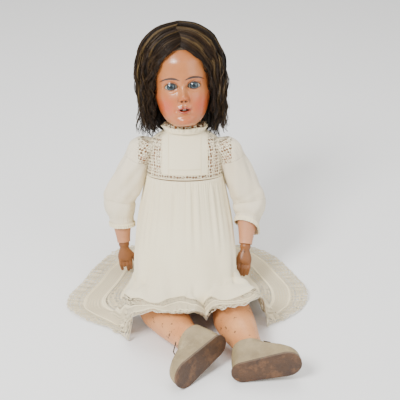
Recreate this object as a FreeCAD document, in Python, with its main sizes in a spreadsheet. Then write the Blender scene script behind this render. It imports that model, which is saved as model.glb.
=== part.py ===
import FreeCAD, Part
import Sketcher
import math
import os

# A strung composition doll, seated on the floor with its legs out in front.
# Millimetres, +Z up, the doll faces -Y and its own left side is on +X.
# The origin is the middle of the flat under the seat.

Vector = FreeCAD.Vector
document = FreeCAD.newDocument("CompositionDoll")
sheet = document.addObject("Spreadsheet::Sheet", "Sizes")

# Driving dimensions
driving_sizes = [
    # torso
    ("torso_length", 243.0),
    ("chest_half_width", 62.0),
    ("chest_half_depth", 44.0),
    ("torso_wall", 4.5),
    ("hip_height", 38.0),
    ("hip_half_spread", 38.5),
    ("shoulder_height", 203.0),
    ("shoulder_half_spread", 74.0),
    # joint balls and the wooden turnings
    ("ball_clearance", 0.45),
    ("neck_ball_radius", 22.0),
    ("shoulder_ball_radius", 17.0),
    ("elbow_ball_radius", 13.5),
    ("wrist_ball_radius", 9.5),
    ("hip_ball_radius", 24.0),
    ("knee_ball_radius", 23.0),
    ("string_bore_radius", 5.0),
    ("string_radius", 1.6),
    ("string_bend_radius", 9.0),
    ("wire_radius", 1.3),
    # limbs
    ("upper_arm_length", 102.0),
    ("forearm_length", 80.0),
    ("arm_radius", 18.0),
    ("hand_length", 54.0),
    ("palm_half_width", 12.5),
    ("palm_half_thickness", 7.5),
    ("finger_radius", 3.3),
    ("thigh_length", 127.0),
    ("shin_length", 133.0),
    ("thigh_radius", 30.0),
    ("calf_radius", 32.5),
    ("limb_bore_radius", 6.5),
    # shoes
    ("shoe_length", 106.0),
    ("shoe_half_width", 22.0),
    ("heel_half_width", 17.5),
    ("shoe_height", 44.0),
    ("shoe_wall", 1.8),
    ("shoe_fit", 0.8),
    ("sole_thickness", 3.6),
    ("sole_edge", 1.6),
    ("heel_back", 30.0),
    # head
    ("head_height", 158.0),
    ("head_half_width", 52.5),
    ("face_depth", 55.0),
    ("skull_back_depth", 70.0),
    ("head_wall", 4.0),
    ("neck_radius", 21.7),
    ("eye_radius", 13.0),
    ("eye_half_spread", 19.0),
    ("eye_level", 73.0),
    ("eye_setback", 34.5),
    ("eye_opening_width", 21.0),
    ("eye_opening_height", 11.0),
    ("mouth_level", 35.0),
    ("mouth_width", 17.0),
    ("mouth_height", 5.0),
    ("crown_cut_level", 132.0),
    ("wig_cap_thickness", 1.5),
    # clothes
    ("cloth_thickness", 1.3),
    ("cloth_gap", 1.0),
    ("yoke_bottom", 158.0),
    ("collar_height", 12.0),
    ("collar_radius", 33.0),
    ("sleeve_radius", 28.0),
    ("cuff_radius", 21.5),
    ("cuff_height", 9.0),
    ("skirt_half_width", 214.0),
    ("skirt_front", 178.0),
    ("skirt_back", 120.0),
    ("floor_gap", 0.7),
    ("button_radius", 5.0),
    ("button_thickness", 2.2),
    ("cut_overrun", 60.0),
]

# Pose of the seated doll, in degrees
pose_angles = [
    ("lean_angle", 12.0),
    ("head_pitch", -2.0),
    ("head_roll", -4.0),
    ("head_yaw", 3.0),
    ("right_thigh_heading", -11.0),
    ("right_thigh_rise", -0.9),
    ("right_shin_heading", 32.0),
    ("right_shin_rise", 0.0),
    ("left_thigh_heading", 14.0),
    ("left_thigh_rise", -0.9),
    ("left_shin_heading", 14.5),
    ("left_shin_rise", -3.0),
    ("right_toe_heading", -58.0),
    ("right_toe_rise", -16.0),
    ("left_toe_heading", 90.0),
    ("left_toe_rise", 12.0),
    ("foot_droop", 12.0),
    ("right_upper_arm_heading", -71.9),
    ("right_upper_arm_rise", -65.0),
    ("right_forearm_heading", 14.7),
    ("right_forearm_rise", -70.7),
    ("left_upper_arm_heading", 62.5),
    ("left_upper_arm_rise", -65.0),
    ("left_forearm_heading", -9.0),
    ("left_forearm_rise", -53.5),
]

for row, (name, value) in enumerate(driving_sizes + pose_angles, start=1):
    cell = "B%d" % row
    sheet.set("A%d" % row, name)
    sheet.set(cell, str(value))
    sheet.setAlias(cell, name)
document.recompute()


def size(name):
    return float(sheet.get(name))


# Places: every frame hangs from the one before it

def direction(heading, rise):
    heading = math.radians(heading)
    rise = math.radians(rise)
    return Vector(
        math.sin(heading) * math.cos(rise),
        -math.cos(heading) * math.cos(rise),
        math.sin(rise),
    )


def frame_along(origin, down, front):
    z_axis = -down
    y_axis = -(front - down * front.dot(down))
    y_axis.normalize()
    x_axis = y_axis.cross(z_axis)
    return FreeCAD.Placement(origin, FreeCAD.Rotation(x_axis, y_axis, z_axis, "ZYX"))


lean = FreeCAD.Rotation(Vector(1, 0, 0), -size("lean_angle"))
torso_place = FreeCAD.Placement(Vector(0, 0, size("hip_height")), lean)
neck_point = torso_place.multVec(Vector(0, 0, size("torso_length")))
head_turn = FreeCAD.Rotation(Vector(0, 0, 1), size("head_yaw")).multiply(
    FreeCAD.Rotation(Vector(1, 0, 0), size("head_pitch"))
).multiply(FreeCAD.Rotation(Vector(0, 1, 0), size("head_roll")))
head_place = FreeCAD.Placement(neck_point, lean.multiply(head_turn))
side_signs = {"right": -1, "left": 1}

limb_places = {}
for side, sign in side_signs.items():
    shoulder = torso_place.multVec(
        Vector(sign * size("shoulder_half_spread"), 0, size("shoulder_height"))
    )
    upper = direction(size(side + "_upper_arm_heading"), size(side + "_upper_arm_rise"))
    fore = direction(size(side + "_forearm_heading"), size(side + "_forearm_rise"))
    elbow = shoulder + upper * size("upper_arm_length")
    wrist = elbow + fore * size("forearm_length")
    bend_front = fore - upper * fore.dot(upper)
    limb_places[side + "_upper_arm"] = frame_along(shoulder, upper, bend_front)
    limb_places[side + "_forearm"] = frame_along(elbow, fore, fore * fore.dot(upper) - upper)
    limb_places[side + "_hand"] = frame_along(wrist, fore, Vector(0, -1, 0))
    hip = Vector(sign * size("hip_half_spread"), 0, size("hip_height"))
    thigh = direction(size(side + "_thigh_heading"), size(side + "_thigh_rise"))
    shin = direction(size(side + "_shin_heading"), size(side + "_shin_rise"))
    toe = direction(size(side + "_toe_heading"), size(side + "_toe_rise"))
    knee = hip + thigh * size("thigh_length")
    limb_places[side + "_thigh"] = frame_along(hip, thigh, Vector(0, 0, 1))
    limb_places[side + "_shin"] = frame_along(knee, shin, toe)


def made(label, shape, place=None):
    feature = document.addObject("Part::Feature", label)
    feature.Label = label
    feature.Shape = shape
    if place is not None:
        feature.Placement = place
    return feature


# Ring and loft helpers

ring_points = 16


def ring(height, half_width, front, back, across=0.0, along=0.0):
    points = []
    for step in range(ring_points):
        turn = 2 * math.pi * step / ring_points
        depth = back if math.sin(turn) > 0 else front
        points.append(
            Vector(across + half_width * math.cos(turn), along + depth * math.sin(turn), height)
        )
    curve = Part.BSplineCurve()
    curve.interpolate(Points=points, PeriodicFlag=True)
    return Part.Wire([curve.toShape()])


def loft(wires):
    return Part.makeLoft(wires, True, False)


def round_limb(rings, radius, length):
    # rings hold a share of the length, a radius share, and side and depth shift shares
    wires = []
    for along_share, radius_share, side_share, depth_share in rings:
        wires.append(
            ring(
                -along_share * length,
                radius_share * radius,
                radius_share * radius,
                radius_share * radius,
                side_share * radius,
                depth_share * radius,
            )
        )
    return loft(wires)


def ball(radius, centre=Vector(0, 0, 0)):
    return Part.makeSphere(radius, centre)


def rod(radius, start, end):
    return Part.makeCylinder(radius, start.distanceToPoint(end), start, end - start)


def cone(start_radius, end_radius, start, end):
    return Part.makeCone(start_radius, end_radius, start.distanceToPoint(end), start, end - start)


def block(low, high):
    span = high - low
    return Part.makeBox(span.x, span.y, span.z, low)


def to_world(shape, place):
    moved = shape.copy()
    moved.Placement = place
    return moved


def into_frame(point, place):
    return place.inverse().multVec(point)


# Torso

torso_ring_shares = [
    (-0.170, 0.46, 0.46, 0.60),
    (-0.145, 0.72, 0.72, 0.84),
    (-0.105, 0.96, 0.98, 1.08),
    (-0.020, 1.08, 1.12, 1.22),
    (0.110, 1.08, 1.22, 1.20),
    (0.230, 1.02, 1.24, 1.04),
    (0.370, 0.94, 1.12, 0.94),
    (0.520, 0.95, 1.02, 0.96),
    (0.680, 1.00, 0.98, 0.98),
    (0.800, 1.00, 0.88, 0.92),
    (0.880, 0.88, 0.74, 0.82),
    (0.940, 0.62, 0.64, 0.72),
    (0.985, 0.47, 0.60, 0.62),
]


def torso_form(inset):
    wires = []
    for height_share, width_share, front_share, back_share in torso_ring_shares:
        wires.append(
            ring(
                height_share * size("torso_length"),
                width_share * size("chest_half_width") - inset,
                front_share * size("chest_half_depth") - inset,
                back_share * size("chest_half_depth") - inset,
            )
        )
    return wires


def hip_centre(sign):
    return Vector(sign * size("hip_half_spread"), 0, 0)


def shoulder_centre(sign):
    return Vector(sign * size("shoulder_half_spread"), 0, size("shoulder_height"))


def leg_space(sign, lining=0.0):
    # the space that the thigh sweeps from sitting to standing
    reach = size("cut_overrun") + size("thigh_radius")
    room = size("thigh_radius") + 2 * size("ball_clearance") + lining
    inner = size("hip_half_spread") - room
    centre = hip_centre(sign)
    outer = size("hip_half_spread") + reach
    x_low, x_high = sorted((sign * inner, sign * outer))
    mid_low, mid_high = sorted((centre.x, sign * outer))
    within = room * 0.15
    return [
        rod(room, centre + Vector(0, within, 0), centre + Vector(0, -reach, 0)),
        rod(room, centre + Vector(0, 0, within), centre + Vector(0, 0, -reach)),
        block(Vector(x_low, -reach, -reach), Vector(x_high, 0, 0)),
        block(Vector(mid_low, -reach, 0), Vector(mid_high, 0, room)),
        block(Vector(mid_low, 0, -reach), Vector(mid_high, room, 0)),
    ]


def make_torso():
    overrun = size("cut_overrun")
    outer = loft(torso_form(0.0))
    inner_wires = torso_form(size("torso_wall"))[1:-1]
    hollow = loft(inner_wires)
    cups = []
    sockets = []
    bores = []
    for sign in side_signs.values():
        hip_room = size("hip_ball_radius") + size("ball_clearance")
        arm_room = size("shoulder_ball_radius") + size("ball_clearance")
        cups.append(ball(hip_room + size("torso_wall"), hip_centre(sign)))
        cups.append(ball(arm_room + size("torso_wall"), shoulder_centre(sign)))
        sockets.append(ball(hip_room, hip_centre(sign)))
        sockets.append(ball(arm_room, shoulder_centre(sign)))
        toward_hook = Vector(0, 0, size("torso_length") * 0.8)
        bores.append(rod(size("string_bore_radius"), hip_centre(sign), toward_hook))
        inner_x = shoulder_centre(sign) - Vector(sign * overrun, 0, 0)
        bores.append(rod(size("string_bore_radius"), shoulder_centre(sign), inner_x))
    neck_room = size("neck_ball_radius") + size("ball_clearance")
    neck_centre = Vector(0, 0, size("torso_length"))
    cups.append(ball(neck_room + size("torso_wall"), neck_centre))
    sockets.append(ball(neck_room, neck_centre))
    bores.append(rod(neck_room * 0.62, neck_centre, neck_centre - Vector(0, 0, overrun)))
    walls = hollow
    for cup in cups:
        walls = walls.cut(cup)
    for sign in side_signs.values():
        for piece in leg_space(sign, size("torso_wall")):
            walls = walls.cut(piece)
    crotch_room = size("thigh_radius") + 2 * size("ball_clearance")
    web_half = size("hip_half_spread") - crotch_room
    shell = outer.cut(walls)
    for sign in side_signs.values():
        for piece in leg_space(sign):
            shell = shell.cut(piece)
        pad = size("shoulder_half_spread") - size("shoulder_ball_radius") * 0.92
        height = size("shoulder_height")
        low_x, high_x = sorted((sign * pad, sign * (pad + overrun)))
        shell = shell.cut(
            block(
                Vector(low_x, -overrun, height - size("arm_radius") * 1.4),
                Vector(high_x, overrun, height + overrun),
            )
        )
    # the web between the legs stays whole where the hollow would leave it open
    web = outer.common(block(Vector(-web_half, -overrun * 2, -overrun * 2), Vector(web_half, overrun * 2, 0)))
    shell = shell.fuse(web)
    for cut in sockets + bores:
        shell = shell.cut(cut)
    floor = block(Vector(-overrun * 3, -overrun * 3, -overrun * 2), Vector(overrun * 3, overrun * 3, 0))
    floor.Placement = torso_place.inverse().multiply(floor.Placement)
    shell = shell.cut(floor)
    biggest = sorted(shell.Solids, key=lambda solid: solid.Volume)[-1]
    return biggest


torso_shape = make_torso()
made("torso_shell", torso_shape, torso_place)


# Neck fitting: a wooden plug inside the neck and the wire hook that hangs from it

neck_frame = FreeCAD.Placement(neck_point, lean)


def make_neck_plug():
    inner = size("neck_ball_radius") - size("head_wall") - size("ball_clearance")
    plug = ball(inner)
    flat = -inner * 0.35
    plug = plug.common(block(Vector(-inner, -inner, -inner * 1.1), Vector(inner, inner, flat)))
    hole = rod(size("wire_radius") * 1.25, Vector(0, 0, -inner * 1.2), Vector(0, 0, inner))
    return plug.cut(hole)


def tube(points, radius, bend_radius):
    # straight runs joined by tangent arcs
    edges = []
    start = points[0]
    for before, corner, after in zip(points, points[1:], points[2:]):
        incoming = (corner - before).normalize()
        outgoing = (after - corner).normalize()
        turn = incoming.getAngle(outgoing)
        reach = bend_radius * math.tan(turn / 2)
        arc_start = corner - incoming * reach
        arc_end = corner + outgoing * reach
        middle_way = (outgoing - incoming).normalize()
        middle = corner + middle_way * (bend_radius / math.cos(turn / 2) - bend_radius)
        edges.append(Part.LineSegment(start, arc_start).toShape())
        edges.append(Part.Arc(arc_start, middle, arc_end).toShape())
        start = arc_end
    edges.append(Part.LineSegment(start, points[-1]).toShape())
    path = Part.Wire(edges)
    profile = Part.Wire([Part.makeCircle(radius, points[0], points[1] - points[0])])
    return path.makePipeShell([profile], True, False)


def make_neck_hook():
    wire = size("wire_radius")
    inner = size("neck_ball_radius") - size("head_wall")
    top = Vector(0, 0, -inner * 0.35 + 3.5 * wire)
    hook_drop = size("torso_length") * 0.16
    hook_width = wire * 3.4
    points = [
        Vector(inner * 0.6, 0, top.z),
        Vector(0, 0, top.z),
        Vector(0, 0, -hook_drop + hook_width),
        Vector(-hook_width, 0, -hook_drop),
        Vector(0, 0, -hook_drop - hook_width),
        Vector(hook_width, 0, -hook_drop),
    ]
    return tube(points, wire, wire * 1.8)


made("neck_plug", make_neck_plug(), neck_frame)
made("neck_hook", make_neck_hook(), neck_frame)


# Head

head_ring_shares = [
    (0.045, 0.36, 0.86, -0.30),
    (0.085, 0.54, 0.97, 0.02),
    (0.150, 0.70, 1.00, 0.34),
    (0.235, 0.82, 0.99, 0.62),
    (0.345, 0.92, 0.98, 0.83),
    (0.465, 0.965, 0.96, 0.95),
    (0.585, 1.00, 1.00, 1.00),
    (0.700, 1.00, 0.99, 1.00),
    (0.800, 0.945, 0.88, 0.93),
    (0.890, 0.80, 0.66, 0.77),
    (0.955, 0.56, 0.38, 0.54),
    (1.000, 0.20, 0.04, 0.20),
]


def head_form(grow):
    wires = []
    for height_share, width_share, front_share, back_share in head_ring_shares:
        front = front_share * size("face_depth")
        back = back_share * size("skull_back_depth")
        middle = (back - front) / 2
        half_depth = (back + front) / 2 + grow
        height = height_share * size("head_height")
        height += grow * (2 * height_share - 1)
        wires.append(
            ring(
                height,
                width_share * size("head_half_width") + grow,
                half_depth,
                half_depth,
                0.0,
                middle,
            )
        )
    return wires


def nape_shift():
    # how far the neck leans back by the time it meets the skull
    return size("head_wall")


def eye_centre(sign):
    return Vector(sign * size("eye_half_spread"), -size("eye_setback"), size("eye_level"))


def crown_cutter(grow):
    # everything above the slanted crown cut
    reach = size("cut_overrun") * 4
    box = block(Vector(-reach, -reach, grow), Vector(reach, reach, reach))
    tilt = FreeCAD.Rotation(Vector(1, 0, 0), -22)
    box.Placement = FreeCAD.Placement(Vector(0, 0, size("crown_cut_level")), tilt)
    return box


def make_head():
    overrun = size("cut_overrun")
    skull = loft(head_form(0.0))
    neck_top = size("head_height") * 0.22
    neck = rod(size("neck_radius"), Vector(0, 0, 0), Vector(0, nape_shift(), neck_top))
    neck = neck.fuse(ball(size("neck_ball_radius")))
    nose_root = Vector(0, -size("face_depth") * 0.90, size("eye_level") * 0.98)
    nose_tip = Vector(0, -size("face_depth") * 1.06, size("eye_level") * 0.72)
    tip_radius = size("eye_radius") * 0.5
    nose = ball(tip_radius, nose_tip)
    bridge = cone(tip_radius * 0.7, tip_radius * 0.95, nose_root, nose_tip)
    nose = nose.fuse(bridge)
    for sign in side_signs.values():
        wing = nose_tip + Vector(sign * tip_radius * 0.95, tip_radius * 0.7, -tip_radius * 0.1)
        nose = nose.fuse(ball(tip_radius * 0.62, wing))
    lips = ball(1.0)
    stretch = FreeCAD.Matrix()
    stretch.scale(Vector(size("mouth_width") * 0.66, size("mouth_height") * 1.3, size("mouth_height") * 1.5))
    lips = lips.transformGeometry(stretch)
    lips.translate(Vector(0, -size("face_depth") * 0.955, size("mouth_level")))
    chin = ball(size("eye_radius"), Vector(0, -size("face_depth") * 0.80, size("head_height") * 0.125))
    outer = skull.fuse([neck, nose, chin, lips])
    for sign in side_signs.values():
        ear = ball(1.0)
        squash = FreeCAD.Matrix()
        squash.scale(Vector(size("eye_radius") * 0.42, size("eye_radius") * 0.75, size("eye_radius") * 1.15))
        ear = ear.transformGeometry(squash)
        ear_side = sign * size("head_half_width") * 0.965
        ear.translate(Vector(ear_side, size("skull_back_depth") * 0.05, size("eye_level") * 0.86))
        outer = outer.fuse(ear)
    hollow = loft(head_form(-size("head_wall")))
    neck_hole = ball(size("neck_ball_radius") - size("head_wall"))
    shaft_radius = size("neck_ball_radius") - size("head_wall")
    shaft = rod(shaft_radius, Vector(0, 0, 0), Vector(0, nape_shift(), neck_top))
    head = outer.cut(hollow.fuse([neck_hole, shaft]))
    head = head.cut(crown_cutter(0.0))
    string_way = rod(neck_hole_radius(), Vector(0, 0, 0), Vector(0, 0, -overrun))
    head = head.cut(string_way)
    for sign in side_signs.values():
        centre = eye_centre(sign)
        head = head.cut(ball(size("eye_radius") + size("ball_clearance"), centre))
        half_wide = size("eye_opening_width") / 2
        half_high = size("eye_opening_height") / 2
        lens_radius = (half_wide * half_wide + half_high * half_high) / (2 * half_high)
        drop = lens_radius - half_high
        upper = rod(lens_radius, centre + Vector(0, 0, -drop), centre + Vector(0, -overrun, -drop))
        lower = rod(lens_radius, centre + Vector(0, 0, drop), centre + Vector(0, -overrun, drop))
        head = head.cut(upper.common(lower))
    mouth = ball(1.0)
    mouth_stretch = FreeCAD.Matrix()
    mouth_stretch.scale(Vector(size("mouth_width") / 2, size("mouth_width") / 2, size("mouth_height") / 2))
    mouth = mouth.transformGeometry(mouth_stretch)
    mouth.translate(Vector(0, -size("face_depth") * 1.0, size("mouth_level")))
    head = head.cut(mouth)
    return sorted(head.Solids, key=lambda solid: solid.Volume)[-1]


def neck_hole_radius():
    return size("neck_ball_radius") * 0.42


head_shape = make_head()
made("head_shell", head_shape, head_place)


def make_pate():
    dome = loft(head_form(0.0)).cut(loft(head_form(-size("head_wall"))))
    return dome.common(crown_cutter(0.0))


made("pate", make_pate(), head_place)


# Wig: a net cap, and the hair as one soft mass parted in four

hair_ring_shares = [
    (-0.09, 1.20, 0.10, 0.98),
    (0.06, 1.40, 0.20, 1.16),
    (0.25, 1.50, 0.35, 1.28),
    (0.47, 1.49, 0.58, 1.31),
    (0.63, 1.42, 0.86, 1.28),
    (0.80, 1.29, 1.00, 1.20),
    (0.92, 1.10, 0.88, 1.04),
    (1.01, 0.86, 0.62, 0.84),
    (1.07, 0.46, 0.28, 0.48),
]


def hair_form():
    wires = []
    for height_share, width_share, front_share, back_share in hair_ring_shares:
        front = front_share * size("face_depth")
        back = back_share * size("skull_back_depth")
        wires.append(
            ring(
                height_share * size("head_height"),
                width_share * size("head_half_width"),
                (front + back) / 2,
                (front + back) / 2,
                0.0,
                (back - front) / 2,
            )
        )
    return loft(wires)


def hairline_cutter():
    # everything above and behind the slanted hairline
    reach = size("cut_overrun") * 4
    box = block(Vector(-reach, -reach, 0), Vector(reach, reach, reach))
    tilt = FreeCAD.Rotation(Vector(1, 0, 0), -40)
    start = Vector(0, -size("face_depth") * 0.8, size("head_height") * 0.84)
    box.Placement = FreeCAD.Placement(start, tilt)
    return box


def make_wig_cap():
    gap = size("ball_clearance") * 0.5
    outer = loft(head_form(size("wig_cap_thickness") + gap))
    inner = loft(head_form(gap))
    return outer.cut(inner).common(hairline_cutter())


def make_hair():
    skull_room = size("wig_cap_thickness") + 2 * size("ball_clearance")
    mass = hair_form()
    mass = mass.cut(loft(head_form(skull_room)))
    reach = size("cut_overrun") * 3
    face_half = size("head_half_width") * 0.88
    arch_level = size("head_height") * 0.88 - face_half
    opening = rod(face_half, Vector(0, -reach, arch_level), Vector(0, -size("face_depth") * 0.2, arch_level))
    opening = opening.fuse(
        block(Vector(-face_half, -reach, -reach), Vector(face_half, -size("face_depth") * 0.2, arch_level))
    )
    mass = mass.cut(opening)
    neck_room = size("neck_radius") * 2.2
    mass = mass.cut(rod(neck_room, Vector(0, 0, -reach), Vector(0, 0, size("head_height") * 0.12)))
    nape_room = size("neck_radius") + 2 * size("ball_clearance")
    mass = mass.cut(rod(nape_room, Vector(0, 0, 0), Vector(0, nape_shift(), size("head_height") * 0.24)))
    for sign in side_signs.values():
        ear_side = sign * size("head_half_width") * 0.93
        ear_place = Vector(ear_side, size("skull_back_depth") * 0.05, size("eye_level") * 0.86)
        mass = mass.cut(ball(size("eye_radius") * 1.25, ear_place))
    return mass


made("wig_cap", make_wig_cap(), head_place)
hair_mass = make_hair()
crown_level = size("head_height") * 0.72
back_start = size("skull_back_depth") * 0.55
far = size("cut_overrun") * 4
crown_box = block(Vector(-far, -far, crown_level), Vector(far, far, far))
back_box = block(Vector(-far, back_start, -far), Vector(far, far, crown_level))
right_box = block(Vector(-far, -far, -far), Vector(0, back_start, crown_level))
left_box = block(Vector(0, -far, -far), Vector(far, back_start, crown_level))
hair_boxes = {"hair_crown": crown_box, "hair_back": back_box, "hair_right": right_box, "hair_left": left_box}
for label, box in hair_boxes.items():
    made(label, hair_mass.common(box), head_place)


# Eyes on a wire rocker with a lead weight, and the two teeth

eye_middle = Vector(0, -size("eye_setback"), size("eye_level"))
eyes_place = head_place.multiply(FreeCAD.Placement(eye_middle, FreeCAD.Rotation()))


def bound(feature, **expressions):
    for field, expression in expressions.items():
        feature.setExpression(field, expression)
    return feature


for side, sign in side_signs.items():
    globe = document.addObject("Part::Sphere", "eyeball_" + side)
    globe.Label = "eyeball_" + side
    bound(globe, Radius="Sizes.eye_radius")
    globe.Placement = eyes_place.multiply(
        FreeCAD.Placement(Vector(sign * size("eye_half_spread"), 0, 0), FreeCAD.Rotation())
    )


def make_eye_rocker():
    wire = size("wire_radius")
    inner = size("eye_half_spread") - size("eye_radius") * 0.96
    back = size("eye_radius") * 0.95
    stem = size("head_wall") * 6
    bar = rod(wire, Vector(-inner, 0, 0), Vector(inner, 0, 0))
    arm = rod(wire, Vector(0, 0, 0), Vector(0, back, -stem))
    joined = bar.fuse(arm)
    for sign in side_signs.values():
        joined = joined.cut(ball(size("eye_radius"), Vector(sign * size("eye_half_spread"), 0, 0)))
    return joined


made("eye_rocker", make_eye_rocker(), eyes_place)


# Turned and cut pieces as bodies with their own sketches

def worked_out(terms):
    return sum(share * size(name) for share, name in terms)


def as_expression(terms):
    return " + ".join("%s * Sizes.%s" % (share, name) for share, name in terms)


def origin_plane(body, role):
    for feature in body.Origin.OriginFeatures:
        if feature.Role == role:
            return feature


def turned_body(label, corners, place):
    # corners hold the radius and the height of each point as terms of the sizes
    body = document.addObject("PartDesign::Body", label)
    body.Label = label
    sketch = body.newObject("Sketcher::SketchObject", label + "_profile")
    sketch.AttachmentSupport = [(origin_plane(body, "XZ_Plane"), "")]
    sketch.MapMode = "FlatFace"
    points = [Vector(worked_out(across), worked_out(up), 0) for across, up in corners]
    count = len(points)
    for index in range(count):
        sketch.addGeometry(Part.LineSegment(points[index], points[(index + 1) % count]), False)
    for index in range(count):
        sketch.addConstraint(Sketcher.Constraint("Coincident", index, 2, (index + 1) % count, 1))
    for index, (across, up) in enumerate(corners):
        for terms, way, axis in ((across, "DistanceX", -2), (up, "DistanceY", -1)):
            if terms:
                number = sketch.addConstraint(Sketcher.Constraint(way, index, 1, worked_out(terms)))
                sketch.setExpression("Constraints[%d]" % number, as_expression(terms))
            else:
                sketch.addConstraint(Sketcher.Constraint("PointOnObject", index, 1, axis))
    turning = body.newObject("PartDesign::Revolution", label + "_turning")
    turning.Profile = sketch
    turning.ReferenceAxis = (sketch, ["V_Axis"])
    turning.Angle = 360.0
    body.Tip = turning
    body.Placement = place
    return body


weight_radius = [(0.75, "eye_radius")]
weight_waist = [(0.45, "eye_radius")]
weight_corners = [
    ([], [(-0.7, "eye_radius")]),
    (weight_waist, [(-0.7, "eye_radius")]),
    (weight_radius, [(-0.3, "eye_radius")]),
    (weight_radius, [(0.4, "eye_radius")]),
    (weight_waist, [(0.7, "eye_radius")]),
    ([], [(0.7, "eye_radius")]),
]
weight_place = eyes_place.multiply(
    FreeCAD.Placement(
        Vector(0, size("eye_radius") * 0.95, -size("head_wall") * 6 - size("eye_radius") * 0.75),
        FreeCAD.Rotation(),
    )
)
turned_body("eye_weight", weight_corners, weight_place)



def make_teeth():
    width = size("mouth_width") * 0.16
    height = size("mouth_height") * 0.62
    depth = size("head_wall") * 0.5
    front = -size("face_depth") * 0.925
    top = size("mouth_level") + size("mouth_height") * 0.42
    teeth = []
    for sign in side_signs.values():
        low_x, high_x = sorted((sign * width * 0.04, sign * width))
        tooth = block(Vector(low_x, front, top - height), Vector(high_x, front + depth, top))
        teeth.append(tooth)
    plate = block(
        Vector(-width * 1.6, front + depth, top - height * 0.7),
        Vector(width * 1.6, front + depth * 2, top + height * 0.6),
    )
    joined = plate.fuse(teeth)
    return joined


# Joint balls: hollow turned balls with a flared way through for the string

seam_turn = 50

def joint_ball(label, radius_name, first_way, second_way, place):
    whole = bound(document.addObject("Part::Sphere", label + "_round"), Radius="Sizes." + radius_name)
    whole.Placement = FreeCAD.Placement(Vector(0, 0, 0), FreeCAD.Rotation(Vector(1, 1, 0), seam_turn))
    cavity = bound(
        document.addObject("Part::Sphere", label + "_cavity"), Radius="Sizes.%s * 0.55" % radius_name
    )
    tools = [cavity]
    for number, way in enumerate((first_way, second_way), start=1):
        flare = document.addObject("Part::Cone", "%s_way_%d" % (label, number))
        bound(
            flare,
            Radius1="Sizes.string_bore_radius * 0.8",
            Radius2="Sizes.string_bore_radius * 1.5",
            Height="Sizes.%s * 1.1" % radius_name,
        )
        flare.Placement = FreeCAD.Placement(Vector(0, 0, 0), FreeCAD.Rotation(Vector(0, 0, 1), way))
        tools.append(flare)
    inside = document.addObject("Part::MultiFuse", label + "_inside")
    inside.Shapes = tools
    drilled = document.addObject("Part::Cut", label)
    drilled.Label = label
    drilled.Base = whole
    drilled.Tool = inside
    drilled.Placement = place
    return drilled


def rotated_back(place, way):
    return place.Rotation.inverted().multVec(way)


# Limbs

thigh_ring_shares = [
    (0.118, 0.80, 0.0, 0.0),
    (0.190, 0.97, 0.0, 0.0),
    (0.360, 1.00, 0.0, 0.0),
    (0.600, 0.95, 0.0, 0.0),
    (0.790, 0.85, 0.0, 0.0),
    (0.905, 0.685, 0.0, 0.0),
]
shin_ring_shares = [
    (0.091, 0.715, 0.0, 0.0),
    (0.170, 0.84, 0.0, 0.0),
    (0.300, 0.985, 0.0, 0.05),
    (0.430, 1.00, 0.0, 0.08),
    (0.620, 0.92, 0.0, 0.06),
    (0.820, 0.76, 0.0, 0.01),
    (1.000, 0.69, 0.0, 0.0),
    (1.130, 0.66, 0.0, 0.0),
]
upper_arm_ring_shares = [
    (0.060, 0.99, 0.0, 0.0),
    (0.200, 1.05, 0.0, 0.0),
    (0.450, 1.00, 0.0, 0.0),
    (0.700, 0.92, 0.0, 0.0),
    (0.926, 0.76, 0.0, 0.0),
]
forearm_ring_shares = [
    (0.094, 0.76, 0.0, 0.0),
    (0.200, 0.90, 0.0, 0.0),
    (0.380, 0.95, 0.0, 0.0),
    (0.620, 0.84, 0.0, 0.0),
    (0.820, 0.69, 0.0, 0.0),
    (0.950, 0.64, 0.0, 0.0),
]


def cupped(shape, room, centre):
    return shape.cut(ball(room + size("ball_clearance"), centre))


def make_thigh():
    length = size("thigh_length")
    knee = Vector(0, 0, -length)
    form = round_limb(thigh_ring_shares, size("thigh_radius"), length)
    form = cupped(form, size("hip_ball_radius"), Vector(0, 0, 0))
    form = cupped(form, size("knee_ball_radius"), knee)
    return form.cut(rod(size("limb_bore_radius"), Vector(0, 0, 0), knee))


def make_upper_arm():
    length = size("upper_arm_length")
    elbow = Vector(0, 0, -length)
    form = round_limb(upper_arm_ring_shares, size("arm_radius"), length)
    form = cupped(form, size("shoulder_ball_radius"), Vector(0, 0, 0))
    form = cupped(form, size("elbow_ball_radius"), elbow)
    return form.cut(rod(size("limb_bore_radius"), Vector(0, 0, 0), elbow))


def make_forearm():
    length = size("forearm_length")
    wrist = Vector(0, 0, -length)
    form = round_limb(forearm_ring_shares, size("arm_radius"), length)
    form = cupped(form, size("elbow_ball_radius"), Vector(0, 0, 0))
    form = cupped(form, size("wrist_ball_radius"), wrist)
    return form.cut(rod(size("string_bore_radius"), Vector(0, 0, 0), wrist))


thumb_spread_shares = {"right": 2.1, "left": 1.0}


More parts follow.
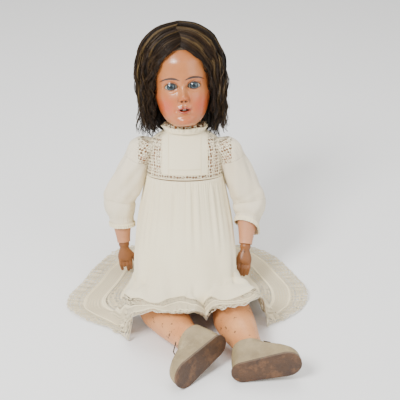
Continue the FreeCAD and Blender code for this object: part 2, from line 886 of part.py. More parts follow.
def make_hand(side, sign):
    # palm, four curled fingers and a thumb on the side of the body
    length = size("hand_length")
    palm_width = size("palm_half_width")
    palm_depth = size("palm_half_thickness")
    finger = size("finger_radius")
    thumb_side = -sign
    wrist_radius = size("wrist_ball_radius") * 0.93
    wires = [
        ring(0, wrist_radius, wrist_radius, wrist_radius),
        ring(-length * 0.16, wrist_radius, palm_depth, palm_depth),
        ring(-length * 0.34, palm_width, palm_depth, palm_depth),
        ring(-length * 0.52, palm_width, palm_depth * 0.86, palm_depth * 0.86),
        ring(-length * 0.58, palm_width * 0.94, palm_depth * 0.6, palm_depth * 0.6),
    ]
    hand = loft(wires).fuse(ball(size("wrist_ball_radius")))
    finger_shares = [(-0.72, 0.88), (-0.25, 1.0), (0.23, 0.97), (0.70, 0.84)]
    for across_share, reach_share in finger_shares:
        root = Vector(thumb_side * across_share * palm_width, 0, -length * 0.50)
        knuckle = root + Vector(0, palm_depth * 0.10, -length * 0.22 * reach_share)
        inward = -thumb_side * across_share * finger * 0.4
        tip = knuckle + Vector(inward, palm_depth * 0.9, -length * 0.20 * reach_share)
        hand = hand.fuse([
            Part.makeCone(finger * 1.08, finger, root.distanceToPoint(knuckle), root, knuckle - root),
            ball(finger, knuckle),
            Part.makeCone(finger, finger * 0.82, knuckle.distanceToPoint(tip), knuckle, tip - knuckle),
            ball(finger * 0.82, tip),
        ])
    thumb_root = Vector(thumb_side * palm_width * 0.62, 0, -length * 0.26)
    spread = thumb_spread_shares[side] * finger
    thumb_knuckle = thumb_root + Vector(thumb_side * spread, palm_depth * 0.4, -length * 0.16)
    thumb_tip = thumb_knuckle + Vector(thumb_side * finger * 0.1, palm_depth * 0.4, -length * 0.16)
    hand = hand.fuse([
        ball(finger * 1.25, thumb_root),
        cone(finger * 1.25, finger * 1.05, thumb_root, thumb_knuckle),
        ball(finger * 1.05, thumb_knuckle),
        cone(finger * 1.05, finger * 0.85, thumb_knuckle, thumb_tip),
        ball(finger * 0.85, thumb_tip),
    ])
    hole_end = Vector(0, 0, -size("wrist_ball_radius") * 0.4)
    hole = rod(size("wire_radius") * 1.15, hole_end, Vector(0, 0, length))
    return hand.cut(hole)


def make_hand_hook():
    wire = size("wire_radius")
    base = -size("wrist_ball_radius") * 0.35
    top = size("forearm_length") * 0.34
    points = [
        Vector(0, 0, base),
        Vector(0, 0, top - wire * 3),
        Vector(wire * 2.2, 0, top),
        Vector(0, 0, top + wire * 2.2),
    ]
    return tube(points, wire, wire * 1.6)


# Shoes and feet share one outline: a wide toe arc and a narrower heel arc

def hull_wire(height, toe_radius, heel_radius, front, back):
    # seen from above, toe toward -Y
    toe_y = -front + toe_radius
    heel_y = back - heel_radius
    gap = heel_y - toe_y
    lean_sine = (toe_radius - heel_radius) / gap
    lean_cosine = math.sqrt(1 - lean_sine * lean_sine)

    def on_circle(radius, centre_y, side):
        return Vector(side * radius * lean_cosine, centre_y + radius * lean_sine, height)

    toe_left = on_circle(toe_radius, toe_y, 1)
    toe_right = on_circle(toe_radius, toe_y, -1)
    heel_left = on_circle(heel_radius, heel_y, 1)
    heel_right = on_circle(heel_radius, heel_y, -1)
    toe_end = Vector(0, -front, height)
    heel_end = Vector(0, back, height)
    return Part.Wire([
        Part.Arc(toe_right, toe_end, toe_left).toShape(),
        Part.LineSegment(toe_left, heel_left).toShape(),
        Part.Arc(heel_left, heel_end, heel_right).toShape(),
        Part.LineSegment(heel_right, toe_right).toShape(),
    ])


shoe_section_shares = [
    (0.00, 1.00, 1.00, 1.00, 1.00),
    (0.20, 1.02, 1.05, 1.00, 1.00),
    (0.42, 0.97, 1.10, 0.93, 1.00),
    (0.62, 1.00, 1.16, 0.72, 0.98),
    (0.82, 1.10, 1.30, 0.46, 0.94),
    (1.00, 1.17, 1.47, 0.36, 0.90),
]


def shoe_form(inset, first=0):
    wires = []
    front_length = size("shoe_length") - size("heel_back")
    for height_share, toe_share, heel_share, front_share, back_share in shoe_section_shares[first:]:
        wires.append(
            hull_wire(
                height_share * size("shoe_height"),
                toe_share * size("shoe_half_width") - inset,
                heel_share * size("heel_half_width") - inset,
                front_share * front_length - inset,
                back_share * size("heel_back") - inset,
            )
        )
    return loft(wires)


def shoe_frame(side):
    # under the ankle, with the foot drooping a little from square
    droop = FreeCAD.Rotation(Vector(1, 0, 0), size("foot_droop"))
    ankle = Vector(0, 0, -size("shin_length"))
    down = droop.multVec(Vector(0, 0, -1))
    base = ankle + down * (size("shoe_height") + size("shoe_wall") * 3)
    return limb_places[side + "_shin"].multiply(FreeCAD.Placement(base, droop))


def make_shoe_upper():
    return shoe_form(0.0).cut(shoe_form(size("shoe_wall")))


def make_lower_leg(side):
    length = size("shin_length")
    form = round_limb(shin_ring_shares, size("calf_radius"), length)
    foot = shoe_form(size("shoe_wall") + size("shoe_fit"))
    droop_place = limb_places[side + "_shin"].inverse().multiply(shoe_frame(side))
    foot = to_world(foot, droop_place)
    keep = to_world(
        block(
            Vector(-size("shoe_length"), -size("shoe_length"), size("shoe_fit") * 0.5),
            Vector(size("shoe_length"), size("shoe_length"), size("shoe_height") * 6),
        ),
        droop_place,
    )
    form = form.common(keep).cut(to_world(shoe_form(0.0), droop_place))
    leg = form.fuse(foot.common(keep))
    leg = cupped(leg, size("knee_ball_radius"), Vector(0, 0, 0))
    return leg.cut(rod(size("limb_bore_radius"), Vector(0, 0, 0), Vector(0, 0, -length * 0.45)))


def make_leg_hook():
    wire = size("wire_radius")
    floor_level = -size("shin_length") * 0.45
    reach = size("limb_bore_radius") - wire
    top = floor_level + size("shin_length") * 0.10
    return tube(
        [
            Vector(-reach * 0.9, 0, floor_level + wire * 0.1),
            Vector(-reach * 0.9, 0, top),
            Vector(reach * 0.9, 0, top),
            Vector(reach * 0.9, 0, floor_level + wire * 0.1),
        ],
        wire,
        reach * 0.55,
    )


for side, sign in side_signs.items():
    shoulder_place = FreeCAD.Placement(limb_places[side + "_upper_arm"].Base, lean)
    upper_way = -(limb_places[side + "_upper_arm"].Rotation.multVec(Vector(0, 0, 1)))
    fore_way = -(limb_places[side + "_forearm"].Rotation.multVec(Vector(0, 0, 1)))
    thigh_way = -(limb_places[side + "_thigh"].Rotation.multVec(Vector(0, 0, 1)))
    shin_way = -(limb_places[side + "_shin"].Rotation.multVec(Vector(0, 0, 1)))
    hip_place = FreeCAD.Placement(limb_places[side + "_thigh"].Base, lean)
    hook_point = neck_frame.multVec(Vector(0, 0, -size("torso_length") * 0.2))
    joint_ball(
        side + "_shoulder_ball",
        "shoulder_ball_radius",
        Vector(-sign, 0, 0),
        rotated_back(shoulder_place, upper_way),
        shoulder_place,
    )
    joint_ball(
        side + "_elbow_ball",
        "elbow_ball_radius",
        Vector(0, 0, 1),
        rotated_back(limb_places[side + "_upper_arm"], fore_way),
        FreeCAD.Placement(limb_places[side + "_forearm"].Base, limb_places[side + "_upper_arm"].Rotation),
    )
    joint_ball(
        side + "_hip_ball",
        "hip_ball_radius",
        rotated_back(hip_place, hook_point - hip_place.Base),
        rotated_back(hip_place, thigh_way),
        hip_place,
    )
    joint_ball(
        side + "_knee_ball",
        "knee_ball_radius",
        Vector(0, 0, 1),
        rotated_back(limb_places[side + "_thigh"], shin_way),
        FreeCAD.Placement(limb_places[side + "_shin"].Base, limb_places[side + "_thigh"].Rotation),
    )
    made(side + "_upper_arm", make_upper_arm(), limb_places[side + "_upper_arm"])
    made(side + "_forearm", make_forearm(), limb_places[side + "_forearm"])
    made(side + "_hand", make_hand(side, sign), limb_places[side + "_hand"])
    made(side + "_hand_hook", make_hand_hook(), limb_places[side + "_hand"])
    made(side + "_thigh", make_thigh(), limb_places[side + "_thigh"])
    made(side + "_lower_leg", make_lower_leg(side), limb_places[side + "_shin"])
    made(side + "_leg_hook", make_leg_hook(), limb_places[side + "_shin"])
    made(side + "_shoe_upper", make_shoe_upper(), shoe_frame(side))
made("teeth", make_teeth(), head_place)


def sole_body(label, place):
    body = document.addObject("PartDesign::Body", label)
    body.Label = label
    sketch = body.newObject("Sketcher::SketchObject", label + "_outline")
    sketch.AttachmentSupport = [(origin_plane(body, "XY_Plane"), "")]
    sketch.MapMode = "FlatFace"
    edge = size("sole_edge")
    toe_radius = size("shoe_half_width") + edge
    heel_radius = size("heel_half_width") + edge
    toe_y = -(size("shoe_length") - size("heel_back")) + size("shoe_half_width")
    heel_y = size("heel_back") - size("heel_half_width")
    lean_sine = (toe_radius - heel_radius) / (heel_y - toe_y)
    rise = math.asin(lean_sine)
    toe_arc = Part.ArcOfCircle(
        Part.Circle(Vector(0, toe_y, 0), Vector(0, 0, 1), toe_radius), math.pi - rise, 2 * math.pi + rise
    )
    heel_arc = Part.ArcOfCircle(
        Part.Circle(Vector(0, heel_y, 0), Vector(0, 0, 1), heel_radius), rise, math.pi - rise
    )
    left_line = Part.LineSegment(toe_arc.EndPoint, heel_arc.StartPoint)
    right_line = Part.LineSegment(heel_arc.EndPoint, toe_arc.StartPoint)
    for geometry in (toe_arc, left_line, heel_arc, right_line):
        sketch.addGeometry(geometry, False)
    sketch.addConstraint([
        Sketcher.Constraint("Tangent", 0, 2, 1, 1),
        Sketcher.Constraint("Tangent", 1, 2, 2, 1),
        Sketcher.Constraint("Tangent", 2, 2, 3, 1),
        Sketcher.Constraint("Tangent", 3, 2, 0, 1),
        Sketcher.Constraint("PointOnObject", 0, 3, -2),
        Sketcher.Constraint("PointOnObject", 2, 3, -2),
    ])
    bindings = [
        (("Radius", 0, toe_radius), "Sizes.shoe_half_width + Sizes.sole_edge"),
        (("Radius", 2, heel_radius), "Sizes.heel_half_width + Sizes.sole_edge"),
        (("DistanceY", 0, 3, toe_y), "Sizes.heel_back + Sizes.shoe_half_width - Sizes.shoe_length"),
        (("DistanceY", 2, 3, heel_y), "Sizes.heel_back - Sizes.heel_half_width"),
    ]
    for constraint, expression in bindings:
        number = sketch.addConstraint(Sketcher.Constraint(*constraint))
        sketch.setExpression("Constraints[%d]" % number, expression)
    pad = body.newObject("PartDesign::Pad", label + "_pad")
    pad.Profile = sketch
    pad.setExpression("Length", "Sizes.sole_thickness")
    body.Tip = pad
    body.Placement = place
    return body


for side in side_signs:
    below = FreeCAD.Placement(Vector(0, 0, -size("sole_thickness")), FreeCAD.Rotation())
    sole_body(side + "_shoe_sole", shoe_frame(side).multiply(below))


# Stringing: one elastic through both arms, and one down each leg from the neck hook

def in_world(place, point):
    return place.multVec(point)


hook_top = Vector(0, 0, size("forearm_length") * 0.34 + size("wire_radius") * 3.2)
behind_hook = Vector(0, size("string_radius") * 4, size("shoulder_height"))
arm_points = []
for side, order in (("right", 1), ("left", -1)):
    run = [
        in_world(limb_places[side + "_hand"], hook_top),
        limb_places[side + "_forearm"].Base,
        limb_places[side + "_upper_arm"].Base,
    ]
    arm_points += run[::order]
    if order == 1:
        arm_points.append(in_world(torso_place, behind_hook))
made("arm_elastic", tube(arm_points, size("string_radius"), size("string_bend_radius")))

for side, sign in side_signs.items():
    hook_depth = size("torso_length") * 0.16 + size("wire_radius") * 4.5
    hook_end = neck_frame.multVec(Vector(sign * size("string_radius") * 1.6, 0, -hook_depth))
    leg_end = in_world(
        limb_places[side + "_shin"],
        Vector(0, 0, -size("shin_length") * 0.35 + size("wire_radius") + size("ball_clearance") * 0.7),
    )
    leg_points = [
        hook_end,
        limb_places[side + "_thigh"].Base,
        limb_places[side + "_shin"].Base,
        leg_end,
    ]
    made(side + "_leg_elastic", tube(leg_points, size("string_radius"), size("string_bend_radius")))


# Dress: cloth is a thin closed shell with its main folds

def fold_wire(folds, fold_share, point_at):
    edges = []
    for index in range(folds):
        start = 2 * math.pi * index / folds
        end = 2 * math.pi * (index + 1) / folds
        middle = (start + end) / 2
        edges.append(
            Part.Arc(
                point_at(start, 1 - fold_share),
                point_at(middle, 1 + fold_share),
                point_at(end, 1 - fold_share),
            ).toShape()
        )
    return Part.Wire(edges)


sleeve_folds = 8


def sleeve_form(side, inset):
    ball_radius = size("shoulder_ball_radius")
    full = size("sleeve_radius")
    upper_place = limb_places[side + "_upper_arm"]
    fore_place = limb_places[side + "_forearm"]
    shoulder = upper_place.Base
    elbow = fore_place.Base
    upper = upper_place.Rotation.multVec(Vector(0, 0, -1))
    fore = fore_place.Rotation.multVec(Vector(0, 0, -1))
    front = fore - upper * fore.dot(upper)
    middle_way = (upper + fore).normalize()
    stations = [
        (shoulder - upper * (ball_radius * 1.30 - inset), upper, ball_radius * 0.60, 0.0),
        (shoulder - upper * ball_radius * 0.95, upper, ball_radius * 1.10, 0.0),
        (shoulder - upper * ball_radius * 0.10, upper, ball_radius * 1.40, 0.01),
        (shoulder + upper * size("upper_arm_length") * 0.20, upper, full * 0.82, 0.03),
        (shoulder + upper * size("upper_arm_length") * 0.45, upper, full * 0.92, 0.04),
        (shoulder + upper * size("upper_arm_length") * 0.74, upper, full * 0.98, 0.05),
        (elbow, middle_way, full, 0.05),
        (elbow + fore * size("forearm_length") * 0.18, fore, full * 0.96, 0.06),
        (elbow + fore * size("forearm_length") * 0.31, fore, full * 0.84, 0.06),
        (elbow + fore * size("forearm_length") * 0.42, fore, size("cuff_radius"), 0.02),
    ]
    wires = []
    for centre, way, radius, fold_share in stations:
        place = frame_along(centre, way, front)

        def point_at(turn, stretch):
            reach = (radius - inset) * stretch
            return place.multVec(Vector(reach * math.cos(turn), reach * math.sin(turn), 0))

        wires.append(fold_wire(sleeve_folds, fold_share, point_at))
    return Part.makeLoft(wires, True, True)


def biggest_solid(shape):
    return sorted(shape.Solids, key=lambda solid: solid.Volume)[-1]


cloth = size("cloth_thickness")
gap = size("cloth_gap")
torso_grown = loft(torso_form(-(gap + cloth)))
torso_cleared = loft(torso_form(-(gap + cloth + size("ball_clearance"))))
torso_bare = loft(torso_form(-gap))
yoke_top = size("torso_length") * 0.965
yoke_slab = block(Vector(-far, -far, size("yoke_bottom")), Vector(far, far, yoke_top))
yoke = torso_grown.cut(torso_bare).common(yoke_slab)
for side in side_signs:
    sleeve_outer = sleeve_form(side, 0.0)
    sleeve_room = sleeve_form(side, -size("ball_clearance"))
    sleeve_inner = sleeve_form(side, cloth)
    sleeve = sleeve_outer.cut(sleeve_inner)
    body_room = to_world(torso_cleared, torso_place)
    made(side + "_sleeve", biggest_solid(sleeve.cut(body_room)))
    yoke = yoke.cut(to_world(sleeve_room, torso_place.inverse()))
made("dress_yoke", biggest_solid(yoke), torso_place)

collar_inner = [(1.0, "collar_radius")]
collar_outer = [(1.0, "collar_radius"), (1.0, "cloth_thickness")]
collar_frill = [(1.0, "collar_radius"), (2.0, "cloth_thickness")]
collar_low = [(0.0, "collar_height")]
collar_corners = [
    (collar_inner, []),
    (collar_outer, []),
    (collar_outer, [(0.55, "collar_height")]),
    (collar_frill, [(0.85, "collar_height")]),
    (collar_outer, [(1.0, "collar_height")]),
    (collar_inner, [(1.0, "collar_height")]),
]
collar_place = torso_place.multiply(
    FreeCAD.Placement(Vector(0, 0, yoke_top + size("ball_clearance")), FreeCAD.Rotation())
)
turned_body("dress_collar", collar_corners, collar_place)

cuff_inner = [(1.0, "arm_radius"), (1.0, "cloth_gap")]
cuff_outer = [(1.0, "arm_radius"), (1.0, "cloth_gap"), (1.0, "cloth_thickness")]
cuff_lip = [(1.0, "arm_radius"), (1.0, "cloth_gap"), (1.7, "cloth_thickness")]
cuff_corners = [
    (cuff_inner, []),
    (cuff_outer, []),
    (cuff_lip, [(0.15, "cuff_height")]),
    (cuff_outer, [(0.35, "cuff_height")]),
    (cuff_outer, [(1.0, "cuff_height")]),
    (cuff_inner, [(1.0, "cuff_height")]),
]
for side in side_signs:
    cuff_start = -size("forearm_length") * 0.42 - size("ball_clearance") - size("cuff_height")
    cuff_place = limb_places[side + "_forearm"].multiply(
        FreeCAD.Placement(Vector(0, 0, cuff_start), FreeCAD.Rotation())
    )
    turned_body(side + "_cuff", cuff_corners, cuff_place)


# Skirt and petticoat: rings from the yoke seam over the lap and out on the floor.
# In front the rings stay up on the legs, at the sides and back they reach the floor.

skirt_columns = 84
rear_squareness = 0.62
skirt_section_shares = [
    # height, half width, centre, front depth, back depth and fold depth
    (1.900, 0.352, 0.135, 0.416, 0.43, 0.014),
    (1.420, 0.385, 0.000, 0.494, 0.62, 0.016),
    (1.120, 0.395, -0.250, 0.560, 1.04, 0.014),
    (0.970, 0.390, -0.400, 0.570, 1.24, 0.010),
    (0.760, 0.390, -0.450, 0.540, 1.34, 0.006),
    (0.526, 0.392, -0.500, 0.500, 1.46, 0.006),
    (0.320, 0.404, -0.490, 0.520, 1.50, 0.008),
    (0.220, 0.435, -0.480, 0.540, 1.51, 0.008),
    (0.175, 0.475, -0.470, 0.550, 1.52, 0.010),
    (0.140, 0.520, -0.460, 0.560, 1.52, 0.016),
    (0.100, 0.645, -0.432, 0.588, 1.52, 0.020),
    (0.070, 0.780, -0.400, 0.620, 1.52, 0.024),
    (0.040, 0.985, -0.337, 0.680, 1.48, 0.026),
]
petticoat_rings = 8
raised_start_angle = 246.0
raised_end_angle = 296.0
raised_fade_angle = 14.0
leg_capsule_shares = {
    # along the limb from and to, the radius there as a share, and how far the cloth tents out
    "thigh": [
        (0.12, 0.80, 0.36, 1.00, 0.00),
        (0.36, 1.00, 0.62, 0.98, 0.04),
        (0.62, 0.98, 0.80, 0.86, 0.08),
        (0.80, 0.86, 1.00, 0.82, 0.18),
    ],
    "shin": [
        (0.00, 0.78, 0.16, 0.94, 0.24),
        (0.16, 0.94, 0.40, 1.12, 0.44),
        (0.40, 1.12, 0.66, 1.04, 0.44),
        (0.66, 0.96, 0.95, 0.72, 0.26),
    ],
}


def lap_room():
    # from the skin to the outside of the skirt, with the petticoat between
    return 2.6 * size("cloth_gap") + 2 * size("cloth_thickness")


def lap_height():
    return size("hip_height") + size("thigh_radius") + lap_room()


def leg_capsules():
    capsules = []
    for side in side_signs:
        for part, spans in leg_capsule_shares.items():
            place = limb_places[side + "_" + part]
            length = size(part + "_length")
            radius = size("thigh_radius") if part == "thigh" else size("calf_radius")
            for low, low_radius, high, high_radius, tent in spans:
                start = place.multVec(Vector(0, 0, -low * length))
                end = place.multVec(Vector(0, 0, -high * length))
                capsules.append((start, end, low_radius * radius, high_radius * radius, tent * radius))
    return capsules


leg_capsule_list = leg_capsules()


def draped(point, room):
    # lifted straight up until it lies on the legs, or hangs as a tent from them
    height = point.z
    flat_point = Vector(point.x, point.y, 0)
    for start, end, start_radius, end_radius, tent in leg_capsule_list:
        flat_start = Vector(start.x, start.y, 0)
        along = Vector(end.x, end.y, 0) - flat_start
        share = min(1.0, max(0.0, (flat_point - flat_start).dot(along) / along.dot(along)))
        radius = start_radius + (end_radius - start_radius) * share + room
        reach = radius + tent
        distance = (flat_point - flat_start - along * share).Length
        if distance < reach:
            axis_height = start.z + (end.z - start.z) * share
            rise = min(radius, math.sqrt(reach * reach - distance * distance))
            height = max(height, axis_height + rise)
    return Vector(point.x, point.y, height)


def raised_share(turn):
    # one over the legs, fading to none at either side
    angle = math.degrees(turn) % 360
    inside = min(angle - raised_start_angle, raised_end_angle - angle)
    share = min(1.0, max(0.0, inside / raised_fade_angle + 0.5))
    return share * share * (3 - 2 * share)


def pleated(fold_share, point_at):
    # valley and crest in turn, with straight cloth between them
    points = []
    for column in range(skirt_columns):
        turn = 2 * math.pi * column / skirt_columns
        points.append(point_at(turn, 1 + fold_share * (1 if column % 2 else -1)))
    return points


def seam_ring(height, inset, fold_share):
    # a ring round the torso, square to its leaning axis
    half_width = size("chest_half_width") * 1.035 - inset

    def point_at(turn, stretch):
        depth = size("chest_half_depth") * (1.22 if math.sin(turn) < 0 else 1.10) - inset
        return torso_place.multVec(
            Vector(half_width * stretch * math.cos(turn), depth * stretch * math.sin(turn), height)
        )

    return pleated(fold_share, point_at)


def skirt_ring(shares, inset):
    height_share, width_share, centre_share, front_share, back_share, fold_share = shares
    lap = lap_height()
    on_lap = skirt_section_shares[3]

    def point_at(turn, stretch):
        raised = raised_share(turn) if height_share < on_lap[0] else 0.0
        lap_drop = (on_lap[0] - height_share) * 0.10
        height = lap * (height_share * (1 - raised) + (on_lap[0] - lap_drop) * raised)
        overhang = (on_lap[0] - height_share) * 0.08
        half_share = width_share * (1 - raised) + (on_lap[1] + overhang) * raised
        centre_level = centre_share * (1 - raised) + on_lap[2] * raised
        depth_share = front_share * (1 - raised) + (on_lap[3] + overhang) * raised
        if math.sin(turn) < 0:
            depth = size("skirt_front") * depth_share - inset
        else:
            depth = size("skirt_back") * back_share - inset
        half_width = size("skirt_half_width") * half_share - inset
        squareness = rear_squareness if math.sin(turn) > 0 else 1.0
        across = math.copysign(abs(math.cos(turn)) ** squareness, math.cos(turn))
        nominal = Vector(
            half_width * stretch * across,
            size("skirt_front") * centre_level + depth * stretch * math.sin(turn),
            height - inset,
        )
        return draped(nominal, lap_room() - inset)

    return pleated(fold_share, point_at)


def facet(first, second, third):
    return Part.Face(Part.makePolygon([first, second, third, first]))


def cloth_faces(ring_pairs):
    # two flat facets for each cell between one ring and the next
    faces = []
    for upper, lower in ring_pairs:
        for column in range(skirt_columns):
            beside = (column + 1) % skirt_columns
            faces.append(facet(upper[column], lower[column], lower[beside]))
            faces.append(facet(upper[column], lower[beside], upper[beside]))
    return faces


def hung_cloth(outer_rings, inner_rings):
    # a closed solid between two surfaces, joined along the top and the hem
    pairs = list(zip(outer_rings, outer_rings[1:])) + list(zip(inner_rings, inner_rings[1:]))
    pairs += [(outer_rings[0], inner_rings[0]), (outer_rings[-1], inner_rings[-1])]
    shell = Part.makeShell(cloth_faces(pairs))
    shell.sewShape()
    solid = Part.makeSolid(shell)
    if solid.Volume < 0:
        solid.reverse()
    return solid


def skirt_rings(inset):
    rings = [seam_ring(size("yoke_bottom") - size("ball_clearance"), inset, 0.008)]
    for shares in skirt_section_shares:
        rings.append(skirt_ring(shares, inset))
    return rings


def sunk(rings, depth):
    # the same rings, moved square to the cloth towards the body
    lowered = []
    for level, ring in enumerate(rings):
        above = rings[max(level - 1, 0)]
        below = rings[min(level + 1, len(rings) - 1)]
        points = []
        for column, point in enumerate(ring):
            along = ring[(column + 1) % skirt_columns] - ring[column - 1]
            inward = along.cross(below[column] - above[column]).normalize()
            points.append(point + inward * depth)
        lowered.append(points)
    return lowered


cloth_room = size("cloth_thickness") + size("cloth_gap")
skirt_outside = skirt_rings(0.0)
skirt_shape = hung_cloth(skirt_outside, sunk(skirt_outside, size("cloth_thickness")))
petticoat_top = seam_ring(size("torso_length") * 0.46, cloth_room, 0.008)
petticoat_outside = [petticoat_top] + sunk(skirt_outside, cloth_room)[2:petticoat_rings + 2]
petticoat_shape = hung_cloth(petticoat_outside, sunk(petticoat_outside, size("cloth_thickness")))
made("dress_skirt", skirt_shape)
made("petticoat", petticoat_shape)


# Back fastening of the yoke: a row of small shell buttons

def torso_back_share(height_share):
    for low, high in zip(torso_ring_shares, torso_ring_shares[1:]):
        if low[0] <= height_share <= high[0]:
            part = (height_share - low[0]) / (high[0] - low[0])
            return low[3] + (high[3] - low[3]) * part
    return torso_ring_shares[-1][3]


button_height_shares = [0.69, 0.76, 0.83, 0.90]
button_parts = []
for number, height_share in enumerate(button_height_shares, start=1):
    disc = bound(
        document.addObject("Part::Cylinder", "button_%d_round" % number),
        Radius="Sizes.button_radius",
        Height="Sizes.button_thickness",
    )
    holes = []
    for sign in side_signs.values():
        hole = bound(
            document.addObject("Part::Cylinder", "button_%d_hole_round" % number),
            Radius="Sizes.button_radius * 0.14",
            Height="Sizes.button_thickness * 3",
        )
        hole.Placement = FreeCAD.Placement(
            Vector(sign * size("button_radius") * 0.35, 0, -size("button_thickness")), FreeCAD.Rotation()
        )
        holes.append(hole)
    pair = document.addObject("Part::MultiFuse", "button_%d_inside" % number)
    pair.Shapes = holes
    button = document.addObject("Part::Cut", "button_%d_round" % number)
    button.Base = disc
    button.Tool = pair
    low_share = height_share - size("button_radius") / size("torso_length")
    back_share = max(torso_back_share(height_share), torso_back_share(low_share))
    back = back_share * size("chest_half_depth") + gap + cloth + size("ball_clearance")
    button.Placement = torso_place.multiply(
        FreeCAD.Placement(
            Vector(0, back + size("ball_clearance"), size("torso_length") * height_share),
            FreeCAD.Rotation(Vector(1, 0, 0), -90),
        )
    )
    button_parts.append(button)
buttons = document.addObject("Part::Compound", "back_buttons")
buttons.Label = "back_buttons"
buttons.Links = button_parts


# Shoe ties: a thin cord across each instep

tie_radius_share = 0.5
tie_point_shares = [
    (-0.62, 0.30, 0.88),
    (-0.30, 0.42, 0.985),
    (0.22, 0.44, 1.01),
    (0.66, 0.30, 1.02),
]


def make_tie():
    radius = size("shoe_wall") * tie_radius_share
    points = []
    for across_share, front_share, height_share in tie_point_shares:
        points.append(
            Vector(
                across_share * size("shoe_half_width") * 1.3,
                -front_share * (size("shoe_length") - size("heel_back")) - radius * 3.4,
                height_share * size("shoe_height"),
            )
        )
    return tube(points, radius, radius * 5)


for side in side_signs:
    made(side + "_shoe_tie", make_tie(), shoe_frame(side))

document.recompute()
os.makedirs("parts", exist_ok=True)
part_types = ("Part::Feature", "PartDesign::Body", "Part::Sphere", "Part::Cut", "Part::Compound")
helper_endings = ("_round", "_cavity", "_inside", "_way_1", "_way_2")
helper_starts = ("button_",)
for item in document.Objects:
    if "Invalid" in item.State or "Error" in item.State:
        raise RuntimeError("failed: " + item.Label)
    if item.TypeId not in part_types:
        continue
    if item.Label.endswith(helper_endings) or item.Label.startswith(helper_starts):
        continue
    if item.Shape.isNull() or not item.Shape.isValid():
        raise RuntimeError("bad shape: " + item.Label)
    item.Shape.exportStep(os.path.join("parts", item.Label + ".step"))
    print(item.Label, len(item.Shape.Solids), round(item.Shape.Volume))
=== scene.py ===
import math
import bpy
import bmesh
import numpy as np
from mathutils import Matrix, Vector


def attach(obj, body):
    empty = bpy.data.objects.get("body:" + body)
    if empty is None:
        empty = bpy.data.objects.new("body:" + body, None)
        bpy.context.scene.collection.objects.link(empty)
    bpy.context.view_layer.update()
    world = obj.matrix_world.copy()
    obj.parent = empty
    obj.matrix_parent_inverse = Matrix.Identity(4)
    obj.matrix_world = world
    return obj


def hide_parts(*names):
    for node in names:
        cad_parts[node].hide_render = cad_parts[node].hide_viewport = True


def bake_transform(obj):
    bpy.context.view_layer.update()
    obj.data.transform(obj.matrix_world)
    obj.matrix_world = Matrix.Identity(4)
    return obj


# Looks of the seated composition doll. Lengths below are millimetres until a mesh is made.
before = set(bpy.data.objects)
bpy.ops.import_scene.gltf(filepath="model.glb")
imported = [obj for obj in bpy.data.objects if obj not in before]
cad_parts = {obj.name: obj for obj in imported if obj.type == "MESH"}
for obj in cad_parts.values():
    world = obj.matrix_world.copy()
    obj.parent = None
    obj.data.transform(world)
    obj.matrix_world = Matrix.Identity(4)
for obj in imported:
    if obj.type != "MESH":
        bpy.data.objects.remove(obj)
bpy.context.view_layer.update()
seed = np.random.default_rng(41)
print("frame loaded:", len(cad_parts), "nodes")


# Places of the doll's parts, the same angles as the joints at rest

def turnAbout(axis, degrees):
    angle = math.radians(degrees)
    c, s = math.cos(angle), math.sin(angle)
    if axis == "X":
        return np.array([[1, 0, 0], [0, c, -s], [0, s, c]])
    if axis == "Y":
        return np.array([[c, 0, s], [0, 1, 0], [-s, 0, c]])
    return np.array([[c, -s, 0], [s, c, 0], [0, 0, 1]])


def heading(turn, rise):
    turn, rise = math.radians(turn), math.radians(rise)
    return np.array([math.sin(turn) * math.cos(rise), -math.cos(turn) * math.cos(rise), math.sin(rise)])


def unit(vector):
    return np.asarray(vector, float) / np.linalg.norm(vector)


def frameAlong(origin, down, front):
    zAxis = -np.asarray(down, float)
    yAxis = -unit(front - down * np.dot(front, down))
    xAxis = np.cross(yAxis, zAxis)
    return np.column_stack([xAxis, yAxis, zAxis]), np.asarray(origin, float)


def placed(points, place):
    turn, origin = place
    return np.asarray(points, float) @ turn.T + origin


poseOfDoll = {
    "right": {"upperArm": (-71.9, -65.0), "forearm": (14.7, -70.7), "thigh": (-11.0, -0.9), "shin": (32.0, 0.0),
              "toe": (-58.0, -16.0)},
    "left": {"upperArm": (62.5, -65.0), "forearm": (-9.0, -53.5), "thigh": (14.0, -0.9), "shin": (14.5, -3.0),
             "toe": (90.0, 12.0)},
    "hip": (38.5, 38.0), "shoulder": (74.0, 203.0), "upperArmLength": 102.0, "forearmLength": 80.0,
    "thighLength": 127.0, "shinLength": 133.0,
}
signs = {"right": -1, "left": 1}
lean = turnAbout("X", -12)
torsoSizes = {"halfWidth": 62.0, "halfDepth": 44.0, "length": 243.0}
torsoPlace = (lean, np.array([0.0, 0.0, 38.0]))
neckPoint = placed([0, 0, torsoSizes["length"]], torsoPlace)
headPlace = (lean @ turnAbout("Z", 3) @ turnAbout("X", -2) @ turnAbout("Y", -4), neckPoint)
limbs = {}
